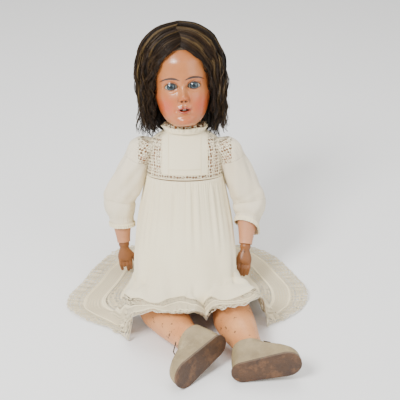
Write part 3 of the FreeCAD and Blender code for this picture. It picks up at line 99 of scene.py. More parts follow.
for side, sign in signs.items():
    pose = poseOfDoll[side]
    shoulder = placed([sign * poseOfDoll["shoulder"][0], 0, poseOfDoll["shoulder"][1]], torsoPlace)
    upper, fore = heading(*pose["upperArm"]), heading(*pose["forearm"])
    elbow = shoulder + upper * poseOfDoll["upperArmLength"]
    wrist = elbow + fore * poseOfDoll["forearmLength"]
    thigh, shin = heading(*pose["thigh"]), heading(*pose["shin"])
    hip = np.array([sign * poseOfDoll["hip"][0], 0, poseOfDoll["hip"][1]])
    knee = hip + thigh * poseOfDoll["thighLength"]
    limbs[side] = {
        "shoulder": shoulder, "elbow": elbow, "wrist": wrist, "hip": hip, "knee": knee,
        "upperWay": upper, "foreWay": fore, "thighWay": thigh, "shinWay": shin,
        "thigh": frameAlong(hip, thigh, np.array([0.0, 0.0, 1.0])),
        "shin": frameAlong(knee, shin, heading(*pose["toe"])),
        "forearm": frameAlong(elbow, fore, fore * np.dot(fore, upper) - upper),
        "hand": frameAlong(wrist, fore, np.array([0.0, -1.0, 0.0])),
    }


# Mesh helpers

def gridFaces(rows, columns, closed):
    r = np.arange(rows - 1)[:, None]
    c = np.arange(columns if closed else columns - 1)[None, :]
    beside = (c + 1) % columns
    return np.stack(np.broadcast_arrays(r * columns + c, r * columns + beside,
                                        (r + 1) * columns + beside, (r + 1) * columns + c), -1).reshape(-1, 4)


def faceOutward(mesh):
    loose = bmesh.new()
    loose.from_mesh(mesh)
    bmesh.ops.recalc_face_normals(loose, faces=loose.faces)
    loose.to_mesh(mesh)
    loose.free()


def roundTurn(count):
    return np.linspace(0, 2 * math.pi, count, endpoint=False)


def meshFrom(name, points, faces, uv=None, masks=None, outward=True):
    mesh = bpy.data.meshes.new(name)
    points = np.asarray(points, float).reshape(-1, 3) * 0.001
    faces = np.asarray(faces, int)
    mesh.vertices.add(len(points))
    mesh.vertices.foreach_set("co", points.ravel())
    mesh.loops.add(faces.size)
    mesh.loops.foreach_set("vertex_index", faces.ravel())
    mesh.polygons.add(len(faces))
    mesh.polygons.foreach_set("loop_start", np.arange(0, faces.size, faces.shape[1]))
    mesh.update(calc_edges=True)
    if uv is not None:
        layer = mesh.uv_layers.new(name="UVMap")
        layer.data.foreach_set("uv", np.asarray(uv, np.float32).ravel())
    for key, values in (masks or {}).items():
        values = np.asarray(values, np.float32)
        if values.ndim > 1:
            attribute = mesh.attributes.new(key, "FLOAT_COLOR", "POINT")
            attribute.data.foreach_set("color", values.ravel())
        else:
            attribute = mesh.attributes.new(key, "FLOAT", "POINT")
            attribute.data.foreach_set("value", values)
    if outward:
        faceOutward(mesh)
    mesh.polygons.foreach_set("use_smooth", np.ones(len(faces), bool))
    mesh.update()
    return mesh


def gridUv(rows, columns, closed, across, along):
    # across has one value more than there are columns where the grid is closed
    r = np.arange(rows - 1)[:, None]
    c = np.arange(columns if closed else columns - 1)[None, :]
    beside = (c + 1) % columns
    corners = []
    for row, turn, column in ((r, c, c), (r, c + 1, beside), (r + 1, c + 1, beside), (r + 1, c, c)):
        u = np.broadcast_to(across[turn], (rows - 1, c.shape[1]))
        v = along[np.broadcast_to(row, u.shape), np.broadcast_to(column, u.shape)]
        corners.append(np.stack([u, v], -1))
    return np.stack(corners, 2).reshape(-1, 2)


def newObject(name, mesh, *materials):
    made = bpy.data.objects.new(name, mesh)
    bpy.context.scene.collection.objects.link(made)
    for material in materials:
        made.data.materials.append(material)
    return made


def plainMesh(made):
    # modifiers become part of the mesh
    bpy.context.view_layer.update()
    graph = bpy.context.evaluated_depsgraph_get()
    fresh = bpy.data.meshes.new_from_object(made.evaluated_get(graph), preserve_all_data_layers=True,
                                            depsgraph=graph)
    made.modifiers.clear()
    old = made.data
    made.data = fresh
    fresh.name = made.name
    if old.users == 0:
        bpy.data.meshes.remove(old)
    return made


def thickened(made, thickness):
    wall = made.modifiers.new("cloth wall", "SOLIDIFY")
    wall.thickness = thickness * 0.001
    wall.offset = 0.0
    return plainMesh(made)


def settle(made, body, slot, *nodes):
    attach(made, body)
    if nodes:
        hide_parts(*nodes)
    return made


def smoothCurve(knots, values, at):
    # a monotone cubic through the table, so it never overshoots a ring
    knots, values, at = np.asarray(knots, float), np.asarray(values, float), np.asarray(at, float)
    more = (slice(None),) + (None,) * (values.ndim - 1)
    steps = np.diff(knots)
    slopes = np.diff(values, axis=0) / steps[more]
    before, after = slopes[:-1], slopes[1:]
    low = (2 * steps[1:] + steps[:-1])[more]
    high = (steps[1:] + 2 * steps[:-1])[more]
    turning = before * after <= 0
    safeBefore, safeAfter = np.where(turning, 1.0, before), np.where(turning, 1.0, after)
    inner = np.where(turning, 0.0, (low + high) / (low / safeBefore + high / safeAfter))
    bends = np.concatenate([slopes[:1], inner, slopes[-1:]])
    spot = np.clip(np.searchsorted(knots, at) - 1, 0, len(steps) - 1)
    t = np.clip((at - knots[spot]) / steps[spot], 0, 1)
    h = steps[spot]
    if values.ndim > 1:
        t, h = t[more], h[more]
    return ((1 + 2 * t) * (1 - t) ** 2 * values[spot] + t * (1 - t) ** 2 * h * bends[spot]
            + t * t * (3 - 2 * t) * values[spot + 1] + t * t * (t - 1) * h * bends[spot + 1])


def softStep(value, low, high):
    t = np.clip((np.asarray(value, float) - low) / (high - low), 0, 1)
    return t * t * (3 - 2 * t)


def bump(x, z, centre, spread):
    return np.exp(-((x - centre[0]) / spread[0]) ** 2 / 2 - ((z - centre[1]) / spread[1]) ** 2 / 2)


# Shader helpers and shared groups

def addNode(tree, kind, settings=None, inputs=None):
    made = tree.nodes.new(kind)
    for key, value in (settings or {}).items():
        setattr(made, key, value)
    for key, value in (inputs or {}).items():
        if isinstance(value, bpy.types.NodeSocket):
            tree.links.new(value, made.inputs[key])
        else:
            made.inputs[key].default_value = value
    return made


def maths(tree, operation, first, second=0.0, clamp=False):
    return addNode(tree, "ShaderNodeMath", {"operation": operation, "use_clamp": clamp},
                   {0: first, 1: second}).outputs[0]


def mixed(tree, amount, first, second, blend="MIX"):
    made = addNode(tree, "ShaderNodeMix", {"data_type": "RGBA", "blend_type": blend},
                   {0: amount, 6: first, 7: second})
    return made.outputs[2]


def newGroup(name, inputs, outputs):
    group = bpy.data.node_groups.new(name, "ShaderNodeTree")
    for label, kind, value in inputs:
        socket = group.interface.new_socket(name=label, in_out="INPUT", socket_type=kind)
        if value is not None:
            socket.default_value = value
    for label, kind in outputs:
        group.interface.new_socket(name=label, in_out="OUTPUT", socket_type=kind)
    return group, group.nodes.new("NodeGroupInput").outputs, group.nodes.new("NodeGroupOutput").inputs


def useGroup(tree, group, inputs):
    made = addNode(tree, "ShaderNodeGroup", {"node_tree": group}, inputs)
    return made.outputs


def buildGrain():
    group, into, out = newGroup("mottled grain",
                                [("Vector", "NodeSocketVector", None), ("Scale", "NodeSocketFloat", 60.0),
                                                  ("Contrast", "NodeSocketFloat", 1.5)],
                                [("Mask", "NodeSocketFloat"), ("Fine", "NodeSocketFloat")])
    wide = addNode(group, "ShaderNodeTexNoise", None,
                   {"Vector": into["Vector"], "Scale": into["Scale"], "Detail": 6.0,
                                                      "Roughness": 0.6})
    fineScale = maths(group, "MULTIPLY", into["Scale"], 9.0)
    fine = addNode(group, "ShaderNodeTexNoise", None, {"Vector": into["Vector"], "Scale": fineScale, "Detail": 3.0})
    centred = maths(group, "MULTIPLY", maths(group, "SUBTRACT", wide.outputs[0], 0.5), into["Contrast"])
    group.links.new(maths(group, "ADD", centred, 0.5, True), out["Mask"])
    group.links.new(fine.outputs[0], out["Fine"])
    return group


def buildWear():
    group, into, out = newGroup("worn spots",
                                [("Vector", "NodeSocketVector", None), ("Scale", "NodeSocketFloat", 40.0),
                                               ("Cover", "NodeSocketFloat", 0.4),
                                               ("Edge", "NodeSocketFloat", 12.0)],
                                [("Mask", "NodeSocketFloat")])
    cloud = addNode(group, "ShaderNodeTexNoise", None,
                    {"Vector": into["Vector"], "Scale": into["Scale"], "Detail": 8.0,
                                                       "Roughness": 0.7})
    over = maths(group, "SUBTRACT", into["Cover"], cloud.outputs[0])
    group.links.new(maths(group, "MULTIPLY", over, into["Edge"], True), out["Mask"])
    return group


def buildCraze():
    group, into, out = newGroup("crazed paint",
                                [("Vector", "NodeSocketVector", None), ("Scale", "NodeSocketFloat", 120.0),
                                                 ("Width", "NodeSocketFloat", 0.02)],
                                                 [("Crack", "NodeSocketFloat")])
    cells = addNode(group, "ShaderNodeTexVoronoi", {"feature": "DISTANCE_TO_EDGE"}, {"Vector": into["Vector"],
                                                                                    "Scale": into["Scale"]})
    share = maths(group, "DIVIDE", cells.outputs[0], into["Width"], True)
    group.links.new(maths(group, "SUBTRACT", 1.0, share, True), out["Crack"])
    return group


def buildWeave():
    # u and v are in metres of cloth
    group, into, out = newGroup("plain weave",
                                [("UV", "NodeSocketVector", None), ("Threads", "NodeSocketFloat", 1600.0)],
                                [("Height", "NodeSocketFloat"), ("Slub", "NodeSocketFloat")])
    parts = addNode(group, "ShaderNodeSeparateXYZ", None, {0: into["UV"]})
    turns = []
    for number in (0, 1):
        phase = maths(group, "MULTIPLY", maths(group, "MULTIPLY", parts.outputs[number], into["Threads"]), math.pi)
        turns.append(maths(group, "ABSOLUTE", maths(group, "SINE", phase)))
    group.links.new(maths(group, "MAXIMUM", turns[0], turns[1]), out["Height"])
    slubs = addNode(group, "ShaderNodeTexNoise", None, {"Vector": into["UV"], "Scale": 240.0, "Detail": 4.0})
    group.links.new(slubs.outputs[0], out["Slub"])
    return group


def buildLace():
    # net and worked flowers: Thread is one where there is thread and none in the holes
    group, into, out = newGroup("bobbin lace",
                                [("UV", "NodeSocketVector", None), ("Mesh", "NodeSocketFloat", 420.0),
                                                ("Flower", "NodeSocketFloat", 90.0)],
                                                [("Thread", "NodeSocketFloat")])
    net = addNode(group, "ShaderNodeTexVoronoi", {"voronoi_dimensions": "2D", "feature": "F1"},
                  {"Vector": into["UV"], "Scale": into["Mesh"], "Randomness": 0.25})
    threads = maths(group, "GREATER_THAN", net.outputs["Distance"], 0.41)
    flowers = addNode(group, "ShaderNodeTexVoronoi", {"voronoi_dimensions": "2D", "feature": "F1"},
                      {"Vector": into["UV"], "Scale": into["Flower"], "Randomness": 0.1})
    petals = maths(group, "LESS_THAN", flowers.outputs["Distance"], 0.33)
    ring = maths(group, "COMPARE", flowers.outputs["Distance"], 0.20)
    ring.node.inputs[2].default_value = 0.035
    workedAndShade = maths(group, "SUBTRACT", petals, ring, True)
    outside = maths(group, "MULTIPLY", threads, maths(group, "SUBTRACT", 1.0, petals))
    group.links.new(maths(group, "MAXIMUM", outside, workedAndShade), out["Thread"])
    return group


def buildDust():
    group, into, out = newGroup("settled dust",
                                [("Vector", "NodeSocketVector", None), ("Scale", "NodeSocketFloat", 90.0)],
                                [("Mask", "NodeSocketFloat")])
    facing = addNode(group, "ShaderNodeSeparateXYZ", None,
                     {0: addNode(group, "ShaderNodeNewGeometry").outputs["Normal"]})
    cloud = addNode(group, "ShaderNodeTexNoise", None,
                    {"Vector": into["Vector"], "Scale": into["Scale"], "Detail": 5.0})
    top = maths(group, "MULTIPLY", maths(group, "MAXIMUM", facing.outputs[2], 0.0), cloud.outputs[0])
    group.links.new(maths(group, "MULTIPLY", top, 0.9, True), out["Mask"])
    return group


grainGroup, wearGroup, crazeGroup = buildGrain(), buildWear(), buildCraze()
weaveGroup, laceGroup, dustGroup = buildWeave(), buildLace(), buildDust()


def startMaterial(name, roughness, fixed=None):
    material = bpy.data.materials.new(name)
    material.use_nodes = True
    tree = material.node_tree
    tree.nodes.clear()
    shader = addNode(tree, "ShaderNodeBsdfPrincipled", None, {"Roughness": roughness})
    for key, value in (fixed or {}).items():
        shader.inputs[key].default_value = value
    output = addNode(tree, "ShaderNodeOutputMaterial", None, {"Surface": shader.outputs[0]})
    output.is_active_output = True
    where = addNode(tree, "ShaderNodeTexCoord")
    return material, tree, shader, where.outputs


def bumpFrom(tree, shader, height, strength, distance):
    made = addNode(tree, "ShaderNodeBump", None, {"Height": height, "Strength": strength, "Distance": distance})
    tree.links.new(made.outputs[0], shader.inputs["Normal"])


# Materials

compositionTones = {
    "face": {"base": (0.50, 0.190, 0.060, 1), "deep": (0.39, 0.122, 0.034, 1), "blush": (0.52, 0.070, 0.022, 1),
             "lips": (0.30, 0.045, 0.020, 1), "browAndShade": (0.030, 0.012, 0.006, 1), "crack": (0.16, 0.07, 0.03, 1),
             "roughness": 0.32, "coat": 0.50, "flake": 0.27},
    "leg": {"base": (0.70, 0.32, 0.125, 1), "deep": (0.55, 0.215, 0.075, 1),
            "flakeColour": (0.055, 0.030, 0.016, 1),
            "roughness": 0.42, "coat": 0.20, "flake": 0.405},
    "arm": {"base": (0.60, 0.285, 0.150, 1), "deep": (0.46, 0.19, 0.090, 1), "flakeColour": (0.11, 0.06, 0.035, 1),
            "roughness": 0.46, "coat": 0.08, "flake": 0.31},
    "hand": {"base": (0.30, 0.115, 0.036, 1), "deep": (0.13, 0.046, 0.015, 1),
             "flakeColour": (0.035, 0.019, 0.012, 1),
             "roughness": 0.44, "coat": 0.10, "flake": 0.37},
    "body": {"base": (0.56, 0.34, 0.20, 1), "deep": (0.44, 0.24, 0.13, 1), "flakeColour": (0.13, 0.08, 0.05, 1),
             "roughness": 0.5, "coat": 0.0, "flake": 0.30},
}


def buildComposition(name, tones, painted):
    material, tree, shader, where = startMaterial(name, tones["roughness"], {"Coat Weight": tones["coat"],
                                                                          "Coat Roughness": 0.22,
                                                                          "Specular IOR Level": 0.35})
    grain = useGroup(tree, grainGroup, {"Vector": where["Object"], "Scale": 28.0, "Contrast": 1.8})
    colour = mixed(tree, grain["Mask"], tones["base"], tones["deep"])
    worn = useGroup(tree, wearGroup,
                    {"Vector": where["Object"], "Scale": 70.0, "Cover": tones["flake"], "Edge": 26.0})
    crack = useGroup(tree, crazeGroup, {"Vector": where["Object"], "Scale": 150.0, "Width": 0.012})
    if painted:
        masks = addNode(tree, "ShaderNodeAttribute", {"attribute_name": "paint"})
        split = addNode(tree, "ShaderNodeSeparateColor", None, {0: masks.outputs["Color"]})
        mottled = maths(tree, "MULTIPLY", split.outputs[0], maths(tree, "ADD", grain["Fine"], 0.45), True)
        colour = mixed(tree, mottled, colour, tones["blush"])
        colour = mixed(tree, split.outputs[1], colour, tones["lips"])
        # the blue mask lays the brow colour on the painted brows and lash lines, and as painted shade in creases,
        # nostrils and the open mouth
        colour = mixed(tree, split.outputs[2], colour, tones["browAndShade"])
        crackShade = maths(tree, "MULTIPLY", crack["Crack"], 0.25)
        colour = mixed(tree, crackShade, colour, tones["crack"])
        rough = maths(tree, "ADD", maths(tree, "MULTIPLY", grain["Fine"], 0.16), tones["roughness"] - 0.08)
    else:
        colour = mixed(tree, worn["Mask"], colour, tones["flakeColour"])
        rubbed = useGroup(tree, wearGroup, {"Vector": where["Object"], "Scale": 22.0, "Cover": 0.42, "Edge": 4.0})
        colour = mixed(tree, maths(tree, "MULTIPLY", rubbed["Mask"], 0.35), colour,
                       tuple(min(1.0, c * 1.35) for c in tones["base"]))
        crackShade = maths(tree, "MULTIPLY", crack["Crack"], 0.35)
        colour = mixed(tree, crackShade, colour, tones["flakeColour"])
        rough = maths(tree, "ADD", maths(tree, "MULTIPLY", worn["Mask"], 0.28),
                      maths(tree, "MULTIPLY", grain["Fine"], 0.2))
        rough = maths(tree, "ADD", rough, tones["roughness"] - 0.1, True)
    tree.links.new(colour, shader.inputs["Base Color"])
    tree.links.new(rough, shader.inputs["Roughness"])
    relief = maths(tree, "SUBTRACT", maths(tree, "MULTIPLY", grain["Fine"], 0.3),
                   maths(tree, "ADD", worn["Mask"] if not painted else crack["Crack"], crack["Crack"]))
    bumpFrom(tree, shader, relief, 0.25, 0.0006)
    return material


faceComposition = buildComposition("painted face", compositionTones["face"], True)
legComposition = buildComposition("leg composition", compositionTones["leg"], False)
armComposition = buildComposition("forearm composition", compositionTones["arm"], False)
handComposition = buildComposition("worn hand", compositionTones["hand"], False)
bodyComposition = buildComposition("body composition", compositionTones["body"], False)

# the worked colour of each cloth is painted shade, laid over its lace bands
clothTones = {
    "lawn": {"base": (0.90, 0.815, 0.585, 1), "aged": (0.80, 0.675, 0.420, 1), "workedAndShade": (0.60, 0.49, 0.30, 1),
             "threads": 1500.0, "roughness": 0.85},
    "sleeve": {"base": (0.88, 0.79, 0.60, 1), "aged": (0.78, 0.65, 0.44, 1), "workedAndShade": (0.60, 0.49, 0.30, 1),
               "threads": 1500.0, "roughness": 0.8},
    # the petticoat cotton is darker than the dress lawn: painted shade for the cloth under the skirt
    "shadedCotton": {"base": (0.70, 0.62, 0.47, 1), "aged": (0.56, 0.48, 0.34, 1), "workedAndShade": (0.60, 0.49, 0.30, 1),
               "threads": 1100.0, "roughness": 0.9},
    "yoke": {"base": (0.90, 0.815, 0.60, 1), "aged": (0.74, 0.63, 0.41, 1), "workedAndShade": (0.80, 0.70, 0.49, 1),
             "threads": 1500.0,
             "roughness": 0.9},
    "lace": {"base": (0.88, 0.80, 0.59, 1), "aged": (0.68, 0.57, 0.36, 1), "workedAndShade": (0.60, 0.49, 0.30, 1),
             "threads": 1500.0, "roughness": 0.9},
}


def buildCloth(name, tones, bands=None, sheer=None):
    # a band is (from, to, kind) in metres along the cloth, kind lace is open and kind eyelet has pin holes; every
    # band is also tinted darker with painted shade
    material, tree, shader, where = startMaterial(name, tones["roughness"],
                                                  {"Sheen Weight": 0.25, "Sheen Roughness": 0.5,
                                                                          "Subsurface Weight": 0.0})
    grain = useGroup(tree, grainGroup, {"Vector": where["Object"], "Scale": 12.0, "Contrast": 2.0})
    weave = useGroup(tree, weaveGroup, {"UV": where["UV"], "Threads": tones["threads"]})
    aged = maths(tree, "MULTIPLY", grain["Mask"], 0.55)
    colour = mixed(tree, aged, tones["base"], tones["aged"])
    thread = mixed(tree, maths(tree, "MULTIPLY", maths(tree, "SUBTRACT", 1.0, weave["Height"]), 0.35), colour,
                   tones["aged"])
    height = maths(tree, "ADD", weave["Height"], maths(tree, "MULTIPLY", weave["Slub"], 0.6))
    alpha = None
    if bands:
        lace = useGroup(tree, laceGroup, {"UV": where["UV"], "Mesh": 185.0, "Flower": 70.0})
        v = addNode(tree, "ShaderNodeSeparateXYZ", None, {0: where["UV"]}).outputs[1]
        solid, workedAndShade = 1.0, 0.0
        for low, high, kind in bands:
            inside = maths(tree, "MULTIPLY", maths(tree, "GREATER_THAN", v, low), maths(tree, "LESS_THAN", v, high))
            thin = lace["Thread"]
            if kind == "eyelet":
                pins = addNode(tree, "ShaderNodeTexVoronoi", {"voronoi_dimensions": "2D", "feature": "F1"},
                               {"Vector": where["UV"], "Scale": 210.0, "Randomness": 0.0})
                thin = maths(tree, "GREATER_THAN", pins.outputs["Distance"], 0.24)
            hole = maths(tree, "MULTIPLY", inside, maths(tree, "SUBTRACT", 1.0, thin))
            solid = maths(tree, "SUBTRACT", solid, hole)
            workedAndShade = maths(tree, "ADD", workedAndShade, inside)
        alpha = solid
        height = maths(tree, "MULTIPLY", height, solid)
        # painted shade: the worked bands are tinted darker, for the shadow seen through the lace
        thread = mixed(tree, maths(tree, "MULTIPLY", workedAndShade, 0.55), thread, tones["workedAndShade"])
    if sheer is not None:
        gaps = maths(tree, "MULTIPLY", maths(tree, "SUBTRACT", 1.0, weave["Height"]), sheer)
        alpha = maths(tree, "SUBTRACT", 1.0, gaps, True) if alpha is None else maths(tree, "SUBTRACT", alpha, gaps,
                                                                                     True)
    tree.links.new(thread, shader.inputs["Base Color"])
    if alpha is not None:
        tree.links.new(alpha, shader.inputs["Alpha"])
    bumpFrom(tree, shader, height, 0.35, 0.0003)
    return material


dressLawn = buildCloth("dress lawn", clothTones["lawn"])
sleeveLawn = buildCloth("sleeve lawn", clothTones["sleeve"], None, 0.55)
yokeLace = buildCloth("lace insertion", clothTones["yoke"], [(-1.0, 1.0, "lace")])


def buildPlain(name, base, deep, roughness, scale, fixed=None, strength=0.2):
    material, tree, shader, where = startMaterial(name, roughness, fixed)
    grain = useGroup(tree, grainGroup, {"Vector": where["Object"], "Scale": scale, "Contrast": 2.0})
    tree.links.new(mixed(tree, grain["Mask"], base, deep), shader.inputs["Base Color"])
    rough = maths(tree, "ADD", maths(tree, "MULTIPLY", grain["Fine"], 0.2), roughness - 0.1, True)
    tree.links.new(rough, shader.inputs["Roughness"])
    bumpFrom(tree, shader, grain["Fine"], strength, 0.0003)
    return material


turnedWood = buildPlain("turned wood", (0.50, 0.30, 0.15, 1), (0.33, 0.17, 0.08, 1), 0.5, 90.0)
corkPate = buildPlain("cork", (0.40, 0.25, 0.13, 1), (0.22, 0.12, 0.06, 1), 0.9, 300.0, None, 0.6)
wigNet = buildPlain("wig net", (0.10, 0.07, 0.045, 1), (0.05, 0.035, 0.02, 1), 0.95, 400.0, None, 0.6)
elasticCord = buildPlain("elastic", (0.52, 0.46, 0.36, 1), (0.34, 0.29, 0.21, 1), 0.9, 500.0)
ironWire = buildPlain("iron wire", (0.18, 0.15, 0.13, 1), (0.20, 0.09, 0.04, 1), 0.45, 220.0, {"Metallic": 1.0})
leadWeight = buildPlain("lead", (0.20, 0.20, 0.21, 1), (0.11, 0.11, 0.12, 1), 0.55, 120.0, {"Metallic": 1.0})
toothCeramic = buildPlain("tooth", (0.80, 0.76, 0.66, 1), (0.70, 0.64, 0.52, 1), 0.2, 300.0, {"Coat Weight": 0.4},
                          0.05)
shellButton = buildPlain("shell button", (0.78, 0.74, 0.66, 1), (0.62, 0.56, 0.50, 1), 0.22, 160.0,
                         {"Coat Weight": 0.5}, 0.05)
tieCord = buildPlain("tie", (0.085, 0.062, 0.042, 1), (0.035, 0.024, 0.016, 1), 0.85, 700.0, None, 0.5)

leatherTones = {
    "upper": {"base": (0.35, 0.262, 0.125, 1), "deep": (0.19, 0.135, 0.060, 1), "worn": (0.52, 0.41, 0.22, 1),
              "roughness": 0.58, "cover": 0.44},
    "sole": {"base": (0.100, 0.044, 0.016, 1), "deep": (0.036, 0.016, 0.007, 1), "worn": (0.26, 0.115, 0.040, 1),
             "roughness": 0.62, "cover": 0.50},
}


def buildLeather(name, tones, creased):
    material, tree, shader, where = startMaterial(name, tones["roughness"],
                                                  {"Coat Weight": 0.08, "Coat Roughness": 0.4})
    grain = useGroup(tree, grainGroup, {"Vector": where["Object"], "Scale": 34.0, "Contrast": 2.4})
    colour = mixed(tree, grain["Mask"], tones["base"], tones["deep"])
    worn = useGroup(tree, wearGroup,
                    {"Vector": where["Object"], "Scale": 46.0, "Cover": tones["cover"], "Edge": 5.0})
    colour = mixed(tree, maths(tree, "MULTIPLY", worn["Mask"], 0.6), colour, tones["worn"])
    pores = addNode(tree, "ShaderNodeTexVoronoi", {"feature": "DISTANCE_TO_EDGE"},
                    {"Vector": where["Object"], "Scale": 900.0})
    crack = useGroup(tree, crazeGroup, {"Vector": where["Object"], "Scale": 190.0, "Width": 0.05})
    colour = mixed(tree, maths(tree, "MULTIPLY", crack["Crack"], creased), colour, tones["deep"])
    dust = useGroup(tree, dustGroup, {"Vector": where["Object"], "Scale": 80.0})
    colour = mixed(tree, maths(tree, "MULTIPLY", dust["Mask"], 0.3), colour, (0.42, 0.37, 0.28, 1))
    tree.links.new(colour, shader.inputs["Base Color"])
    rough = maths(tree, "ADD", maths(tree, "MULTIPLY", grain["Fine"], 0.3), tones["roughness"] - 0.15, True)
    tree.links.new(rough, shader.inputs["Roughness"])
    relief = maths(tree, "SUBTRACT", maths(tree, "MULTIPLY", pores.outputs[0], 1.5), crack["Crack"])
    bumpFrom(tree, shader, relief, 0.35, 0.0005)
    return material


shoeLeather = buildLeather("shoe leather", leatherTones["upper"], 0.5)
soleLeather = buildLeather("sole leather", leatherTones["sole"], 0.3)
print("materials ready")


# Hair colour runs along a value that each strand carries: a random tone, and painted shade that darkens the strands
# lying deeper

hairTones = {"shadow": (0.006, 0.0032, 0.0016, 1), "middle": (0.036, 0.0175, 0.0068, 1),
             "light": (0.150, 0.094, 0.032, 1)}


def buildHairMaterial(name, darker):
    material, tree, shader, where = startMaterial(name, 0.46, {"Anisotropic": 0.4, "Specular IOR Level": 0.22})
    toneAndShade = addNode(tree, "ShaderNodeAttribute", {"attribute_name": "toneAndShade"})
    ramp = addNode(tree, "ShaderNodeValToRGB", None, {0: toneAndShade.outputs["Fac"]})
    ramp.color_ramp.elements[0].color = hairTones["shadow"]
    ramp.color_ramp.elements[1].color = hairTones["light"]
    middle = ramp.color_ramp.elements.new(0.5)
    middle.color = hairTones["middle"]
    grain = useGroup(tree, grainGroup, {"Vector": where["Object"], "Scale": 60.0, "Contrast": 1.6})
    colour = mixed(tree, maths(tree, "MULTIPLY", grain["Mask"], darker), ramp.outputs[0], hairTones["shadow"])
    tree.links.new(colour, shader.inputs["Base Color"])
    return material


mohair = buildHairMaterial("mohair", 0.35)
# a darker copy of the mohair for the mass beneath the strands: painted shade
shadedUnderHair = buildHairMaterial("shaded under hair", 0.75)


# Head: a ring table like the shell's, with the modelled face on its front

headSizes = {
    "height": 158.0, "halfWidth": 52.5, "faceDepth": 55.0, "backDepth": 70.0,
    "rings": [(0.045, 0.36, 0.86, -0.30), (0.085, 0.54, 0.97, 0.02), (0.150, 0.70, 1.00, 0.34),
              (0.235, 0.82, 0.99, 0.62),
              (0.345, 0.92, 0.98, 0.83), (0.465, 0.965, 0.96, 0.95), (0.585, 1.00, 1.00, 1.00),
              (0.700, 1.00, 0.99, 1.00),
              (0.800, 0.945, 0.88, 0.93), (0.890, 0.80, 0.66, 0.77), (0.955, 0.56, 0.38, 0.54),
              (1.000, 0.20, 0.04, 0.20)],
    "eyes": {"x": 19.0, "z": 73.0, "y": -34.5, "radius": 13.0, "halfWide": 10.7, "upper": 6.0, "lower": 4.6},
    "mouth": {"z": 35.0, "halfWide": 8.6, "upper": 2.2, "lower": 2.4},
    "crownLevel": 132.0, "crownSlope": -22.0, "frontColumns": 250, "backColumns": 70, "rows": 210,
    "neckRadius": 21.5, "ballRadius": 21.9,
}


def ringAt(rings, height, sizes):
    shares = [row[0] for row in rings]
    part = np.asarray(height, float) / sizes["height"]
    wide = smoothCurve(shares, [row[1] for row in rings], part) * sizes["halfWidth"]
    front = smoothCurve(shares, [row[2] for row in rings], part) * sizes["faceDepth"]
    back = smoothCurve(shares, [row[3] for row in rings], part) * sizes["backDepth"]
    return wide, (back + front) / 2, (back - front) / 2


def eyeOpening(x, z):
    # above none inside the almond, in millimetres from its edge
    eyes = headSizes["eyes"]
    across = np.abs(x) - eyes["x"]
    reach = np.clip(1 - (across / eyes["halfWide"]) ** 2, 0, None)
    upper = eyes["upper"] * reach ** 0.62
    lower = eyes["lower"] * reach ** 0.85
    rise = z - eyes["z"] + 0.03 * across * across * 0.1
    inside = np.minimum(upper - rise, rise + lower)
    return np.where(np.abs(across) < eyes["halfWide"], inside,
                    -np.abs(np.abs(across) - eyes["halfWide"]) - np.abs(rise))


def mouthOpening(x, z):
    mouth = headSizes["mouth"]
    reach = np.clip(1 - (x / mouth["halfWide"]) ** 2, 0, None)
    bow = 0.8 * np.exp(-(x / 2.2) ** 2)
    rise = z - mouth["z"]
    inside = np.minimum(mouth["upper"] * reach ** 0.7 - bow * 0.6 - rise, rise + mouth["lower"] * reach ** 0.6)
    return np.where(np.abs(x) < mouth["halfWide"], inside, -np.abs(np.abs(x) - mouth["halfWide"]) - np.abs(rise))


def faceRelief(x, z):
    # how far the modelled features stand out from the plain rings
    side = np.abs(x)
    out = -1.6 * bump(side, z, (19, 76), (12, 7)) + 0.9 * bump(side, z, (21, 88), (15, 5))
    out -= 1.0 * bump(side, z, (9, 71), (3.2, 8))
    out += 3.1 * bump(side, z, (29, 46), (12.5, 14)) + 1.2 * bump(side, z, (34, 58), (9, 8))
    bridge = smoothCurve([46, 49, 52, 55, 58, 64, 72, 80, 90], [0, 1.2, 6.5, 10.2, 10.2, 7.0, 3.6, 1.6, 0], z)
    width = smoothCurve([46, 52, 58, 68, 90], [4.8, 5.4, 4.9, 4.0, 5.0], z)
    out += bridge * np.exp(-(np.abs(x) / width) ** 2.2 / 1.6)
    out += 4.4 * bump(side, z, (6.3, 52.6), (2.3, 2.9))
    out -= 1.1 * bump(side, z, (9.9, 51.5), (1.5, 3.4))
    out -= 3.6 * bump(side, z, (3.6, 49.6), (1.5, 1.25))
    out -= 0.7 * bump(x, z, (0, 43.5), (1.7, 3.2)) - 0.5 * bump(side, z, (3.1, 43.0), (1.4, 3.0))
    lipSide = np.clip(1 - (side / 12.6) ** 2, 0, None)
    bow = 1.5 * np.exp(-((side - 3.2) / 2.6) ** 2) - 0.7 * np.exp(-(x / 1.5) ** 2)
    out += 3.0 * lipSide ** 0.7 * np.exp(-((z - 38.2 - 0.3 * bow) / 2.5) ** 2 / 2)
    out += 3.5 * np.clip(1 - (side / 10.5) ** 2, 0, None) ** 0.7 * np.exp(-((z - 30.9) / 2.6) ** 2 / 2)
    out -= 1.4 * bump(side, z, (13.4, 35), (2.0, 2.6))
    out -= 2.2 * bump(x, z, (0, 24.3), (11, 2.9))
    out += 4.4 * bump(x, z, (0, 14.5), (9.5, 6.6)) - 0.5 * bump(x, z, (0, 14.5), (1.6, 3.0))
    return out


